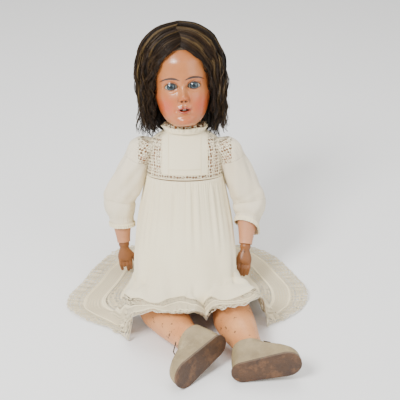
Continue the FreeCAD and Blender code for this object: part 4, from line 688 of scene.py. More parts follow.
def facePaint(x, z, front):
    # red is blush, green is lips, blue is the painted brows and lash lines together with painted shade in the lid
    # creases, the nostrils and the open mouth
    side = np.abs(x)
    blush = 0.85 * bump(side, z, (30, 41), (12.5, 12)) + 0.22 * bump(side, z, (20, 83), (13, 5))
    blush += 0.40 * bump(x, z, (0, 14), (10, 7)) + 0.35 * bump(x, z, (0, 54),
                                                               (6, 4)) + 0.3 * bump(side, z, (48, 62), (6, 14))
    lipEdge = np.clip(1 - (side / 12.4) ** 2, 0, None)
    bow = 1.3 * np.exp(-((side - 3.3) / 2.4) ** 2) - 1.0 * np.exp(-(x / 1.4) ** 2)
    top = 35.2 + 5.2 * lipEdge ** 0.8 + bow * lipEdge
    low = 35.0 - 6.4 * np.clip(1 - (side / 10.8) ** 2, 0, None) ** 0.75
    lips = softStep(top - z, -0.5, 0.7) * softStep(z - low, -0.6, 0.9) * (lipEdge > 0.01)
    crest = smoothCurve([4.0, 6, 12, 18.5, 26, 33, 37.5], [84.4, 85.0, 87.1, 88.0, 87.2, 84.6, 82.0], side)
    thick = smoothCurve([4.0, 7, 14, 24, 33, 37.5], [0.3, 1.0, 1.85, 1.65, 1.05, 0.25], side)
    brows = softStep(thick - np.abs(z - crest), -0.35, 0.35) * (side > 4.0) * (side < 37.5)
    edge = eyeOpening(x, z)
    lash = softStep(edge, -2.7, -1.0) * (z > headSizes["eyes"]["z"] + 0.2)
    lash = np.maximum(lash, softStep(edge, -1.3, -0.3) * 0.85)
    # painted shade: the lid crease and the nostril hollows are darkened with the brow colour
    crease = 0.30 * np.exp(-((z - 81.2 + 0.022 * (side - 19) ** 2) / 0.8) ** 2) * (np.abs(side - 19) < 12)
    holes = 1.0 * bump(side, z, (3.6, 49.6), (1.5, 1.2)) + 0.5 * bump(side, z, (9.6, 51), (0.9, 2.4))
    line = np.clip(brows + lash + crease + holes, 0, 1)
    return np.stack([np.clip(blush, 0, 1) * front, np.clip(lips, 0, 1) * front, line * front, np.ones_like(x)], -1)


def makeHead():
    numbers = headSizes
    frontTurn = np.linspace(-90 - 78, -90 + 78, numbers["frontColumns"], endpoint=False)
    backTurn = np.linspace(-12, 192, numbers["backColumns"], endpoint=False)
    turn = np.radians(np.concatenate([frontTurn, backTurn]))
    low = numbers["rings"][0][0] * numbers["height"]
    share = np.linspace(0, 1, numbers["rows"])[:, None]
    slope = math.tan(math.radians(numbers["crownSlope"]))
    # the shell ends at the slanted crown cut, so the top row is found there
    top = np.full(turn.shape, numbers["crownLevel"])
    for step in range(8):
        wide, depth, middle = ringAt(numbers["rings"], top, numbers)
        top = numbers["crownLevel"] + (middle + depth * np.sin(turn)) * slope
        top = np.clip(top, 90, 157)
    z = low + (top[None, :] - low) * share
    wide, depth, middle = ringAt(numbers["rings"], z, numbers)
    x = wide * np.cos(turn)[None, :]
    y = middle + depth * np.sin(turn)[None, :]
    front = softStep(-np.sin(turn), 0.05, 0.45)[None, :] * np.ones_like(z)
    y = y - faceRelief(x, z) * front
    eyes = numbers["eyes"]
    across = np.abs(x) - eyes["x"]
    far = across ** 2 + (z - eyes["z"]) ** 2
    ball = eyes["y"] - np.sqrt(np.clip(eyes["radius"] ** 2 - far, 4, None))
    edge = eyeOpening(x, z)
    lidded = softStep(edge, -6.5, -1.0) * (front > 0.5)
    y = y + (np.minimum(ball - 1.5, y + 3) - y) * lidded * 0.85
    sunk = softStep(edge, -0.1, 0.9) * (front > 0.5)
    y = y + (ball + 1.2 - y) * sunk
    gape = softStep(mouthOpening(x, z), -0.1, 0.8) * (front > 0.5)
    y = y + 7.0 * gape
    skin = np.stack([x, y, z], -1)
    paint = facePaint(x, z, front)
    paint[..., 1] = np.maximum(paint[..., 1], gape)
    # the inside of the open mouth is darkened with painted shade
    paint[..., 2] = np.maximum(paint[..., 2], gape * 0.75)
    # a short lip turned inwards along the crown cut and a pinched bottom row
    inward = skin[-1].copy()
    centre = np.array([0.0, 8.0, 0.0])
    inward[:, :2] += (centre[:2] - inward[:, :2]) * 0.075
    deeper = inward.copy()
    deeper[:, 2] -= 7.0
    bottom = skin[0].copy()
    bottom[:, :2] = bottom[:, :2].mean(0) + (bottom[:, :2] - bottom[:, :2].mean(0)) * 0.5
    points = np.concatenate([bottom[None], skin, inward[None], deeper[None]])
    plainPaint = np.zeros((1, len(turn), 4))
    paint = np.concatenate([plainPaint, paint, plainPaint, plainPaint])
    columns = len(turn)
    mesh = meshFrom("face", placed(points.reshape(-1, 3), headPlace), gridFaces(len(points), columns, True),
                    masks={"paint": paint.reshape(-1, 4)})
    return newObject("head_with_face", mesh, faceComposition)


def makeNeck():
    # the ball below the neck and the shaft that leans back into the skull
    numbers = headSizes
    steps = []
    for angle in np.linspace(-86, 38, 20):
        steps.append((numbers["ballRadius"] * math.cos(math.radians(angle)),
                      numbers["ballRadius"] * math.sin(math.radians(angle)), 0.0))
    for z in np.linspace(16, 40, 8):
        steps.append((numbers["neckRadius"], z, 4.0 * z / 35))
    turn = roundTurn(96)
    rows = [np.stack([r * np.cos(turn), back + r * np.sin(turn), np.full(96, z)], -1) for r, z, back in steps]
    mesh = meshFrom("neck", placed(np.array(rows).reshape(-1, 3), headPlace), gridFaces(len(rows), 96, True),
                    masks={"paint": np.zeros((len(rows) * 96, 4))})
    return newObject("neck_of_head", mesh, faceComposition)


headPiece = settle(makeHead(), "head", "face_composition", "head_shell")
settle(makeNeck(), "head", "face_composition", "head_shell")
print("head modelled:", len(headPiece.data.polygons), "faces")


# Glass eyes: rings of colour round the gaze, and a painted lid that comes down when they close

eyeTones = {"pupil": (0.006, 0.007, 0.010, 1), "iris": (0.008, 0.020, 0.028, 1),
            "irisPale": (0.040, 0.066, 0.078, 1),
            "rim": (0.006, 0.010, 0.014, 1), "white": (0.30, 0.275, 0.225, 1), "lid": (0.55, 0.29, 0.15, 1),
            "pupilTurn": 12.5, "irisTurn": 28.5, "rimTurn": 33.0, "lidRise": 43.0}


def buildEyeMaterial():
    fixed = {"Coat Weight": 0.5, "Coat Roughness": 0.03, "Specular IOR Level": 0.3}
    material, tree, shader = startMaterial("glass eye", 0.06, fixed)[:3]
    masks = addNode(tree, "ShaderNodeAttribute", {"attribute_name": "rings"})
    split = addNode(tree, "ShaderNodeSeparateColor", None, {0: masks.outputs["Color"]})
    streaks = addNode(tree, "ShaderNodeTexNoise", {"noise_dimensions": "2D"}, {"Scale": 30.0, "Detail": 3.0})
    spoke = addNode(tree, "ShaderNodeCombineXYZ", None, {0: maths(tree, "MULTIPLY", split.outputs[1], 2.2),
                                                        1: maths(tree, "MULTIPLY", split.outputs[0], 0.25)})
    tree.links.new(spoke.outputs[0], streaks.inputs["Vector"])
    colour = mixed(tree, maths(tree, "MULTIPLY", streaks.outputs[0], 1.2, True), eyeTones["iris"],
                   eyeTones["irisPale"])
    ramp = addNode(tree, "ShaderNodeValToRGB", None, {0: split.outputs[0]})
    ramp.color_ramp.interpolation = "LINEAR"
    stops = [(0.0, 0.0), (eyeTones["pupilTurn"] / 90 - 0.01, 0.0), (eyeTones["pupilTurn"] / 90 + 0.01, 1.0),
             (eyeTones["irisTurn"] / 90 - 0.03, 1.0), (eyeTones["irisTurn"] / 90, 0.0)]
    ramp.color_ramp.elements[0].position = 0.0
    ramp.color_ramp.elements[0].color = (0, 0, 0, 1)
    ramp.color_ramp.elements[1].position = 1.0
    ramp.color_ramp.elements[1].color = (0, 0, 0, 1)
    for position, value in stops[1:]:
        made = ramp.color_ramp.elements.new(position)
        made.color = (value, value, value, 1)
    colour = mixed(tree, ramp.outputs[0], eyeTones["rim"], colour)
    outside = maths(tree, "MULTIPLY", maths(tree, "SUBTRACT", split.outputs[0], eyeTones["rimTurn"] / 90 - 0.01),
                    30.0, True)
    colour = mixed(tree, outside, colour, eyeTones["white"])
    colour = mixed(tree, split.outputs[2], colour, eyeTones["lid"])
    tree.links.new(colour, shader.inputs["Base Color"])
    return material


glassEye = buildEyeMaterial()


def makeEye(side, sign):
    radius = headSizes["eyes"]["radius"]
    centre = np.array([sign * headSizes["eyes"]["x"], headSizes["eyes"]["y"], headSizes["eyes"]["z"]])
    fromGaze = np.linspace(0, math.pi, 72)[1:-1]
    around = roundTurn(96)
    a, b = np.meshgrid(fromGaze, around, indexing="ij")
    bulge = 1 + 0.035 * np.exp(-(np.degrees(a) / 24) ** 2)
    ways = np.stack([np.sin(a) * np.cos(b), -np.cos(a), np.sin(a) * np.sin(b)], -1) * bulge[..., None]
    points = ways.reshape(-1, 3) * radius + centre
    rows, columns = len(fromGaze), 96
    poles = np.array([[0, -radius * 1.035, 0], [0, radius, 0]]) + centre
    points = np.concatenate([points, poles])
    faces = gridFaces(rows, columns, True)
    first = np.stack([np.full(columns, len(points) - 2), (np.arange(columns) + 1) % columns, np.arange(columns),
                      np.arange(columns)], -1)[:, :3]
    last = (rows - 1) * columns
    end = np.stack([np.full(columns, len(points) - 1), last + np.arange(columns),
                    last + (np.arange(columns) + 1) % columns], -1)
    elevation = np.degrees(np.arcsin(np.clip(ways[..., 2] / np.linalg.norm(ways, axis=-1), -1, 1)))
    lid = softStep(elevation, eyeTones["lidRise"] - 2, eyeTones["lidRise"] + 2)
    angle = np.degrees(a) / 90
    colours = np.stack([np.clip(angle, 0, 1), b / (2 * math.pi), lid, np.ones_like(a)], -1).reshape(-1, 4)
    colours = np.concatenate([colours, [[0, 0, 0, 1], [1, 0, 0, 1]]])
    mesh = bpy.data.meshes.new("eye_" + side)
    everyFace = [list(f) for f in faces] + [list(f) for f in first] + [list(f) for f in end]
    mesh.from_pydata((placed(points, headPlace) * 0.001).tolist(), [], everyFace)
    attribute = mesh.attributes.new("rings", "FLOAT_COLOR", "POINT")
    attribute.data.foreach_set("color", colours.astype(np.float32).ravel())
    faceOutward(mesh)
    mesh.shade_smooth()
    return newObject("glass_eye_" + side, mesh, glassEye)


for side, sign in signs.items():
    settle(makeEye(side, sign), "eyes", "eye_glass", "eyeball_" + side)
print("eyes made")


# Hair: locks follow guide curves from a centre parting, and a node tree gives each strand its thickness

hairPlan = {
    "rings": [(-0.09, 1.20, 0.10, 0.98), (0.06, 1.40, 0.20, 1.16), (0.25, 1.50, 0.35, 1.28),
              (0.47, 1.49, 0.58, 1.31),
              (0.63, 1.42, 0.86, 1.28), (0.80, 1.29, 1.00, 1.20), (0.92, 1.10, 0.88, 1.04),
              (1.01, 0.86, 0.62, 0.84),
              (1.09, 0.46, 0.28, 0.48)],
    # from the front to the back of the parting; each guide runs from the parting to where it hangs free
    "guides": [
        [(0, -49, 144.5), (12, -54, 137), (27, -52, 124), (41, -44, 106), (50, -36, 84), (54, -30, 58)],
        [(0, -30, 168), (28, -34, 160), (52, -32, 138), (65, -27, 110), (69, -22, 80), (70, -18, 54)],
        [(0, 4, 178), (36, 4, 170), (64, 4, 146), (77, 4, 110), (80, 4, 80), (79, 4, 54)],
        [(0, 44, 168), (30, 50, 156), (54, 54, 130), (64, 56, 100), (66, 56, 76), (66, 56, 52)],
        [(0, 70, 150), (7, 84, 136), (12, 92, 116), (16, 96, 96), (18, 97, 74), (20, 96, 52)],
    ],
    "locks": {"right": 92, "left": 92}, "strandsPerLock": 18, "pointsPerStrand": 27, "thickness": 0.40,
    "waveLength": 42.0, "waveSize": 6.0, "sides": 3,
    "lowestEnd": {"right": -5.0, "left": -12.0},
}


def guidePoint(order, along):
    # order is 0 at the forehead and 1 at the nape, along is 0 at the parting and 1 at the last guide point
    guides = np.array(hairPlan["guides"], float)
    place = np.clip(order, 0, 1) * (len(guides) - 1)
    low = np.clip(place.astype(int), 0, len(guides) - 2)
    share = (place - low)[..., None]
    share = share * share * (3 - 2 * share)
    lengthwise = np.clip(along, 0, 1) * (guides.shape[1] - 1)
    spot = np.clip(lengthwise.astype(int), 0, guides.shape[1] - 2)
    t = (lengthwise - spot)[..., None]

    def onGuide(number):
        before = guides[number, np.clip(spot - 1, 0, 5)]
        first, second = guides[number, spot], guides[number, spot + 1]
        after = guides[number, np.clip(spot + 2, 0, 5)]
        return 0.5 * (2 * first + (second - before) * t + (2 * before - 5 * first + 4 * second - after) * t * t
                      + (3 * first - before - 3 * second + after) * t ** 3)

    return onGuide(low) * (1 - share) + onGuide(low + 1) * share


skullMiddle = np.array([0.0, 10.0, 78.0])


def headReach(ways, grow):
    # distance from the middle of the skull to the shell along each way
    low, high = np.zeros(len(ways)), np.full(len(ways), 130.0)
    for step in range(22):
        middle = (low + high) / 2
        spot = skullMiddle + ways * middle[:, None]
        wide, depth, back = ringAt(headSizes["rings"], np.clip(spot[:, 2], 8, 157.5), headSizes)
        inside = ((spot[:, 0] / (wide + grow)) ** 2 + ((spot[:, 1] - back) / (depth + grow)) ** 2 < 1)
        inside &= (spot[:, 2] < 158 + grow) & (spot[:, 2] > 7)
        low, high = np.where(inside, middle, low), np.where(inside, high, middle)
    return low


def hairLocks(side, sign):
    numbers = hairPlan
    count, per, steps = numbers["locks"][side], numbers["strandsPerLock"], numbers["pointsPerStrand"]
    lockOrder = (np.arange(count) + seed.uniform(0.1, 0.9, count)) / count
    lockDepth = np.where(np.arange(count) % 3 == 0, seed.uniform(0.45, 0.95, count), seed.uniform(0.0, 0.45, count))
    seed.shuffle(lockDepth)
    lock = np.repeat(np.arange(count), per)
    total = len(lock)
    share = np.linspace(0, 1, steps)[None, :]
    drift = seed.normal(0, 0.012, total)[:, None] * (1 - 0.35 * share)
    depth = np.clip(lockDepth[lock] + seed.normal(0, 0.10, total), 0, 1)[:, None] * np.ones((1, steps))
    order = np.clip(lockOrder[lock][:, None] + drift, 0, 1)
    over = 0.72    # share of the strand that lies over the head, the rest hangs
    along = np.clip(share / over, 0, 1) * np.ones((total, 1))
    onHead = guidePoint(order, along)
    ways = onHead - skullMiddle
    reach = np.linalg.norm(ways, axis=-1)
    ways = ways / reach[..., None]
    skull = headReach(ways.reshape(-1, 3), 2.0).reshape(reach.shape)
    inner = np.minimum(skull + 1.5, reach)
    reach = inner + np.maximum(reach - inner, 2.5) * (1 - depth * 0.92)
    points = skullMiddle + ways * reach[..., None]
    hang = np.clip((share - over) / (1 - over), 0, 1) * np.ones((total, 1))
    endLevel = numbers["lowestEnd"][side] + 34 * seed.uniform(0, 1, count)[lock] ** 1.5 + seed.normal(0, 4.0, total)
    endLevel = endLevel - 34 * softStep(lockOrder[lock], 0.5, 0.8)
    points[..., 2] -= (points[..., 2] - endLevel[:, None]) * hang
    outward = points[..., :2] - np.array([0.0, 12.0])
    outward = outward / np.linalg.norm(outward, axis=-1)[..., None]
    flare = seed.normal(0.5, 4.2, count)[lock] * (1.4 if side == "right" else 0.7)
    tuck = np.where(side == "left", -4.0, 1.0)
    points[..., :2] += outward * ((flare[:, None] + tuck) * hang ** 1.6)[..., None]
    # wave of each lock, and a curl near its end
    phase = seed.uniform(0, 2 * math.pi, count)[lock][:, None]
    lengthwise = np.cumsum(np.linalg.norm(np.diff(points, axis=1, prepend=points[:, :1]), axis=-1), axis=1)
    longness = numbers["waveLength"] * seed.uniform(0.8, 1.25, count)[lock][:, None]
    size = numbers["waveSize"] * seed.uniform(0.35, 1.25, count)[lock][:, None] * softStep(share, 0.05, 0.62)
    wave = np.sin(2 * math.pi * lengthwise / longness + phase)
    cross = np.stack([-outward[..., 1], outward[..., 0]], -1)
    points[..., :2] += cross * (wave * size)[..., None]
    lift = np.cos(2 * math.pi * lengthwise / longness + phase * 1.7)
    points[..., :2] += outward * (lift * size * 0.55)[..., None]
    curl = softStep(hang, 0.45, 1.0) * seed.uniform(1.5, 7.0, count)[lock][:, None]
    turn = 2 * math.pi * (hang * 1.3) + phase
    points[..., :2] += cross * (curl * np.cos(turn))[..., None] + outward * (curl * np.sin(turn))[..., None]
    # strands of a lock draw together towards its end
    middle = np.zeros((count, steps, 3))
    for number in range(count):
        middle[number] = points[lock == number].mean(0)
    points += (middle[lock] - points) * (0.15 + 0.62 * softStep(share, 0.3, 1.0))[..., None]
    points += seed.normal(0, 0.35, (total, 1, 3)) * share[..., None]
    strays = seed.random(total) < 0.055
    wander = seed.normal(0, 1, (total, 1, 3)) * (share[..., None] ** 1.5) * np.array([7.5, 6.0, 3.0])
    points = np.where(strays[:, None, None], points + wander, points)
    # no strand dips into the skin of the face or skull
    spot = points.reshape(-1, 3)
    wide, deep, back = ringAt(headSizes["rings"], np.clip(spot[:, 2], 8, 157.5), headSizes)
    room = np.sqrt((spot[:, 0] / (wide + 2.0)) ** 2 + ((spot[:, 1] - back) / (deep + 2.0)) ** 2)
    pushed = (room < 1) & (spot[:, 2] > 8) & (spot[:, 2] < 150)
    scale = np.where(pushed, 1 / np.maximum(room, 0.35), 1.0)
    spot = np.stack([spot[:, 0] * scale, back + (spot[:, 1] - back) * scale, spot[:, 2]], -1)
    points = spot.reshape(points.shape)
    shift = 3.5 * np.sin(order[:, :1] * 17) * (1 - softStep(share, 0, 0.2))
    points[..., 0] = points[..., 0] * sign + shift
    # strands that lie deeper get a darker value, a painted shade; the rest varies at random
    toneAndShade = np.clip(0.47 - 0.40 * depth[:, 0] + seed.normal(0, 0.13, total) + seed.normal(0, 0.19, count)[lock], 0,
                   1)
    thin = seed.uniform(0.7, 1.15, total)
    return points, lockOrder[lock], toneAndShade, thin


def buildStrandTree():
    tree = bpy.data.node_groups.new("strands from guides", "GeometryNodeTree")
    for label, kind, value in (("Geometry", "NodeSocketGeometry", None), ("Thickness", "NodeSocketFloat", 0.0003),
                               ("Sides", "NodeSocketInt", 3), ("Material", "NodeSocketMaterial", None)):
        socket = tree.interface.new_socket(name=label, in_out="INPUT", socket_type=kind)
        if value is not None:
            socket.default_value = value
    tree.interface.new_socket(name="Geometry", in_out="OUTPUT", socket_type="NodeSocketGeometry")
    into = tree.nodes.new("NodeGroupInput").outputs
    curve = addNode(tree, "GeometryNodeMeshToCurve", None, {"Mesh": into["Geometry"]})
    taper = addNode(tree, "GeometryNodeInputNamedAttribute", {"data_type": "FLOAT"}, {"Name": "taper"})
    profile = addNode(tree, "GeometryNodeCurvePrimitiveCircle", None,
                      {"Resolution": into["Sides"], "Radius": into["Thickness"]})
    tubes = addNode(tree, "GeometryNodeCurveToMesh", None, {"Curve": curve.outputs["Curve"],
                                                           "Profile Curve": profile.outputs["Curve"],
                                                           "Fill Caps": True})
    if "Scale" in tubes.inputs:
        tree.links.new(taper.outputs[0], tubes.inputs["Scale"])
    else:
        radius = addNode(tree, "GeometryNodeSetCurveRadius", None,
                         {"Curve": curve.outputs["Curve"], "Radius": taper.outputs[0]})
        tree.links.new(radius.outputs["Curve"], tubes.inputs["Curve"])
    real = addNode(tree, "GeometryNodeRealizeInstances", None, {"Geometry": tubes.outputs["Mesh"]})
    finish = addNode(tree, "GeometryNodeSetMaterial", None,
                     {"Geometry": real.outputs["Geometry"], "Material": into["Material"]})
    output = tree.nodes.new("NodeGroupOutput")
    tree.links.new(finish.outputs["Geometry"], output.inputs["Geometry"])
    return tree


def setInput(modifier, tree, label, value):
    for item in tree.interface.items_tree:
        if item.item_type == "SOCKET" and item.in_out == "INPUT" and item.name == label:
            modifier[item.identifier] = value


strandTree = buildStrandTree()


def tubesAlong(name, lines, taper, thickness, sides, material, tones=None, closed=False):
    # lines is a list of point rows, all made into round strands by the node tree
    starts = np.cumsum([0] + [len(line) for line in lines])
    points = np.concatenate(lines) * 0.001
    edges = [np.stack([np.arange(a, b - 1), np.arange(a + 1, b)], -1) for a, b in zip(starts, starts[1:])]
    if closed:
        edges += [np.array([[b - 1, a]]) for a, b in zip(starts, starts[1:])]
    mesh = bpy.data.meshes.new(name)
    mesh.vertices.add(len(points))
    mesh.vertices.foreach_set("co", points.ravel())
    edges = np.concatenate(edges)
    mesh.edges.add(len(edges))
    mesh.edges.foreach_set("vertices", edges.ravel())
    attribute = mesh.attributes.new("taper", "FLOAT", "POINT")
    attribute.data.foreach_set("value", np.concatenate(taper).astype(np.float32))
    if tones is not None:
        attribute = mesh.attributes.new("toneAndShade", "FLOAT", "POINT")
        attribute.data.foreach_set("value", np.concatenate(tones).astype(np.float32))
    mesh.update()
    made = newObject(name, mesh)
    nodes = made.modifiers.new("strands", "NODES")
    nodes.node_group = strandTree
    setInput(nodes, strandTree, "Thickness", thickness * 0.001)
    setInput(nodes, strandTree, "Sides", sides)
    setInput(nodes, strandTree, "Material", material)
    plainMesh(made)
    made.data.shade_smooth()
    return made


def makeHair():
    pieces = {"hair_crown": [], "hair_back": [], "hair_right": [], "hair_left": []}
    for side, sign in signs.items():
        points, order, toneAndShade, thin = hairLocks(side, sign)
        shares = np.linspace(0, 1, points.shape[1])
        for number in range(len(points)):
            key = "hair_back" if order[number] > 0.72 else "hair_" + side
            if 0.30 < order[number] < 0.50:
                key = "hair_crown"
            width = thin[number] * (0.75 + 0.5 * np.sin(math.pi * np.minimum(shares * 1.2,
                                                                             1))) * (1 - 0.75 * shares ** 3)
            pieces[key].append((placed(points[number], headPlace), width, np.full(len(shares), toneAndShade[number])))
    for node, strands in pieces.items():
        made = tubesAlong("strands_of_" + node, [s[0] for s in strands], [s[1] for s in strands],
                          hairPlan["thickness"], hairPlan["sides"], mohair, [s[2] for s in strands])
        settle(made, "head", "mohair", node)
        print(made.name, len(made.data.polygons), "faces")
    # the mass below the strands, coloured darker as painted shade between the locks
    for side, sign in signs.items():
        order, along = np.meshgrid(np.linspace(0.012, 1.0, 56), np.linspace(0, 1, 48), indexing="xy")
        points = guidePoint(order, along)
        ways = points - skullMiddle
        reach = np.linalg.norm(ways, axis=-1)
        ways /= reach[..., None]
        skull = headReach(ways.reshape(-1, 3), 2.0).reshape(reach.shape)
        inner = np.minimum(skull + 1.0, reach)
        points = skullMiddle + ways * (inner + np.maximum(reach - inner, 1.0) * 0.52)[..., None]
        last = points[-1]
        extra = []
        for share in np.linspace(0.12, 1, 12):
            row = last.copy()
            ends = hairPlan["lowestEnd"][side] + 30 + 6 * np.sin(np.arange(len(row)) * 1.3)
            ends = ends - 34 * softStep(np.arange(len(row)) / len(row), 0.45, 0.72)
            row[:, 2] -= (row[:, 2] - ends) * share
            row[:, :2] += 0.7 * np.sin(share * 9 + np.arange(len(row))[:, None] * 0.8)
            extra.append(row)
        points = np.concatenate([points, np.array(extra)])
        points[..., 0] = np.maximum(points[..., 0], -1.0) * sign
        ripple = 0.9 * np.sin(np.linspace(0, 70, points.shape[1]))[None, :] * np.linspace(0, 1,
                                                                                          points.shape[0])[:, None]
        points[..., 0] += ripple * sign
        toneAndShade = np.clip(0.12 + seed.normal(0, 0.05, points.shape[:2]), 0, 1)
        mesh = meshFrom("mass", placed(points.reshape(-1, 3), headPlace), gridFaces(*points.shape[:2], False),
                        masks={"toneAndShade": toneAndShade.ravel()})
        made = thickened(newObject("hair_mass_" + side, mesh, shadedUnderHair), 3.0)
        settle(made, "head", "mohair", "hair_" + side)


makeHair()
print("hair laid")


# Cloth of the dress: rings from the yoke seam over the lap and out on the floor

skirtPlan = {
    # height of the lap, half width, centre, front and back shares
    "sections": [(1.900, 0.352, 0.135, 0.416, 0.43), (1.420, 0.385, 0.000, 0.494, 0.62),
                 (1.120, 0.395, -0.250, 0.560, 1.04),
                 (0.970, 0.390, -0.400, 0.570, 1.24), (0.760, 0.390, -0.450, 0.540, 1.34),
                 (0.526, 0.392, -0.500, 0.500, 1.46),
                 (0.320, 0.404, -0.490, 0.520, 1.50), (0.220, 0.435, -0.480, 0.540, 1.51),
                 (0.175, 0.475, -0.470, 0.550, 1.52),
                 (0.140, 0.520, -0.460, 0.560, 1.52), (0.100, 0.645, -0.432, 0.588, 1.52),
                 (0.070, 0.780, -0.400, 0.620, 1.52),
                 (0.040, 0.985, -0.337, 0.680, 1.48)],
    "lap": 73.2, "halfWidth": 214.0, "front": 178.0, "back": 120.0, "columns": 520, "rows": 92,
    "room": 5.2, "ruffle": 31.0, "eyelet": (33.0, 61.0), "insertion": (64.0, 83.0),
    # across, and how much of its length each worked band takes there
    "bandShares": [(-150, 1.0), (-108, 0.72), (-62, 0.62), (-34, 0.95), (-2, 1.55), (24, 1.2), (52, 0.80),
                   (88, 0.60), (120, 0.75),
                   (150, 1.0)],
    # across, further forward and higher, for the hem in front
    "hemReach": [(-130, 0, 0), (-104, 8, 0), (-85, 24, 1), (-60, 36, 3), (-38, 40, 5), (9, 40, 10), (39, 22, 8),
                 (66, 34, 8),
                 (89, 36, 5), (112, 26, 2), (138, 4, 0), (150, 0, 0)],
}
petticoatPlan = {"first": 1, "last": 9, "under": 2.3, "columns": 400, "rows": 60, "room": 2.9}
legCapsules = []
for side in signs:
    limb = limbs[side]
    for joint, way, length, radius, shares in (
            ("hip", "thighWay", poseOfDoll["thighLength"], 30.0,
             [(0.12, 0.80, 0.36, 1.00, 0), (0.36, 1.00, 0.62, 0.98, 0.04),
                                              (0.62, 0.98, 0.80, 0.86, 0.08), (0.80, 0.86, 1.00, 0.82, 0.18)]),
            ("knee", "shinWay", poseOfDoll["shinLength"], 32.5,
             [(0, 0.78, 0.16, 0.94, 0.24), (0.16, 0.94, 0.40, 1.12, 0.44),
                                              (0.40, 1.12, 0.66, 1.04, 0.44), (0.66, 0.96, 0.95, 0.72, 0.26)])):
        for low, lowRadius, high, highRadius, tent in shares:
            legCapsules.append((limb[joint] + limb[way] * low * length, limb[joint] + limb[way] * high * length,
                                lowRadius * radius, highRadius * radius, tent * radius))


def seamRing(height, inset, turn):
    depth = torsoSizes["halfDepth"] * np.where(np.sin(turn) < 0, 1.22, 1.10) - inset
    wide = torsoSizes["halfWidth"] * 1.035 - inset
    return placed(np.stack([wide * np.cos(turn), depth * np.sin(turn), np.full_like(turn, height)], -1), torsoPlace)


def skirtRing(shares, inset, turn):
    height, wide, centre, front, back = shares
    depth = np.where(np.sin(turn) < 0, skirtPlan["front"] * front, skirtPlan["back"] * back) - inset
    square = np.where(np.sin(turn) > 0, 0.62, 1.0)
    across = np.sign(np.cos(turn)) * np.abs(np.cos(turn)) ** square
    x = (skirtPlan["halfWidth"] * wide - inset) * across
    y = skirtPlan["front"] * centre + depth * np.sin(turn)
    lift = np.full_like(x, skirtPlan["lap"] * height - inset)
    # over the shins the hem lies further forward, and behind the cloth is drawn in, most on the doll's right
    low = float(softStep(0.97 - height, 0.0, 0.93)) if height < 0.97 else 0.0
    knots, reach, rise = np.array(skirtPlan["hemReach"]).T
    y = y - smoothCurve(knots, reach, np.clip(x, knots[0], knots[-1])) * low * (np.sin(turn) < 0)
    lift = lift + smoothCurve(knots, rise, np.clip(x, knots[0], knots[-1])) * low ** 2 * (np.sin(turn) < 0)
    x = x * (1 - 0.15 * low * softStep(y, -115, 0) * (x < 0) - 0.05 * low * softStep(y, -60, 40) * (x > 0))
    return np.stack([x, y, lift], -1)


def draped(points, room):
    # cloth lies over the legs wherever it would be lower than them
    points = points.copy()
    for start, end, first, last, tent in legCapsules:
        way = (end - start)[:2]
        share = np.clip(((points[..., :2] - start[:2]) @ way) / (way @ way), 0, 1)
        axis = start + share[..., None] * (end - start)
        radius = first + (last - first) * share + room
        reach = radius + tent
        away = np.linalg.norm(points[..., :2] - axis[..., :2], axis=-1)
        high = axis[..., 2] + np.minimum(radius, np.sqrt(np.clip(reach ** 2 - away ** 2, 0, None)))
        points[..., 2] = np.where(away < reach, np.maximum(points[..., 2], high), points[..., 2])
    return points


def gridNormals(points, closed=True):
    if closed:
        across = np.roll(points, -1, 1) - np.roll(points, 1, 1)
    else:
        across = np.gradient(points, axis=1)
    down = np.gradient(points, axis=0)
    normal = np.cross(down, across)
    return normal / np.maximum(np.linalg.norm(normal, axis=-1), 1e-9)[..., None]


def wavy(turn, count, shift):
    # an uneven run of folds that closes on itself
    drift = 0.35 * np.sin(3 * turn + shift) + 0.2 * np.sin(7 * turn + 2 * shift)
    return (0.55 * np.sin(count * turn + drift * 2 + shift) + 0.30 * np.sin(round(count * 1.37) * turn + shift * 2.3)
            + 0.25 * np.sin(round(count * 0.63) * turn + shift * 3.1))


def eased(points, times):
    # takes the sharp creases out of a grid that is closed round its columns
    for step in range(times):
        inner = (points[:-2] + points[2:] + np.roll(points, 1, 1)[1:-1] + np.roll(points, -1, 1)[1:-1]) / 4
        points = points.copy()
        points[1:-1] = points[1:-1] * 0.5 + inner * 0.5
    return points


def lengthsFromHem(points):
    steps = np.linalg.norm(np.diff(points, axis=0), axis=-1)
    return np.concatenate([np.cumsum(steps[::-1], 0)[::-1], np.zeros((1, points.shape[1]))])


def levelled(lengths, times):
    # evens the lengths out between neighbouring columns, so that worked bands run smoothly round the cloth
    for step in range(times):
        lengths = (lengths + sum(np.roll(lengths, shift, 1) for shift in (-6, -3, 3, 6))) / 5
    return lengths


def ringsToGrid(rings, rows):
    rings = np.array(rings)
    knots = np.concatenate([[0], np.cumsum(np.linalg.norm(np.diff(rings, axis=0), axis=-1).mean(1))])
    return smoothCurve(knots, rings, np.linspace(0, knots[-1], rows))


def lineAt(points, fromHem, level, offset):
    # the line round a closed grid at one distance from its hem
    normal = gridNormals(points)
    line = []
    for column in range(points.shape[1]):
        lengths = fromHem[:, column]
        row = int(np.clip(np.searchsorted(-lengths, -level), 1, len(lengths) - 1))
        share = (lengths[row - 1] - level) / max(lengths[row - 1] - lengths[row], 1e-6)
        spot = points[row - 1, column] * (1 - share) + points[row, column] * share
        line.append(spot + normal[row, column] * offset)
    return np.array(line)


def scallop(points, turn, behind, count, rows, reach, power):
    # the lace edge runs a little further out on the middle of each scallop
    outward = points[-1] - points[-behind]
    outward /= np.maximum(np.linalg.norm(outward, axis=-1), 1e-6)[..., None]
    swell = np.abs(np.sin(turn * count)) ** 0.6
    for row in range(1, rows):
        points[-row] += outward * (reach * swell * (1 - (row - 1) / rows) ** power)[:, None]


def roundCord(name, line, radius, sides, material, closed=True):
    return tubesAlong(name, [line], [np.ones(len(line))], radius, sides, material, closed=closed)


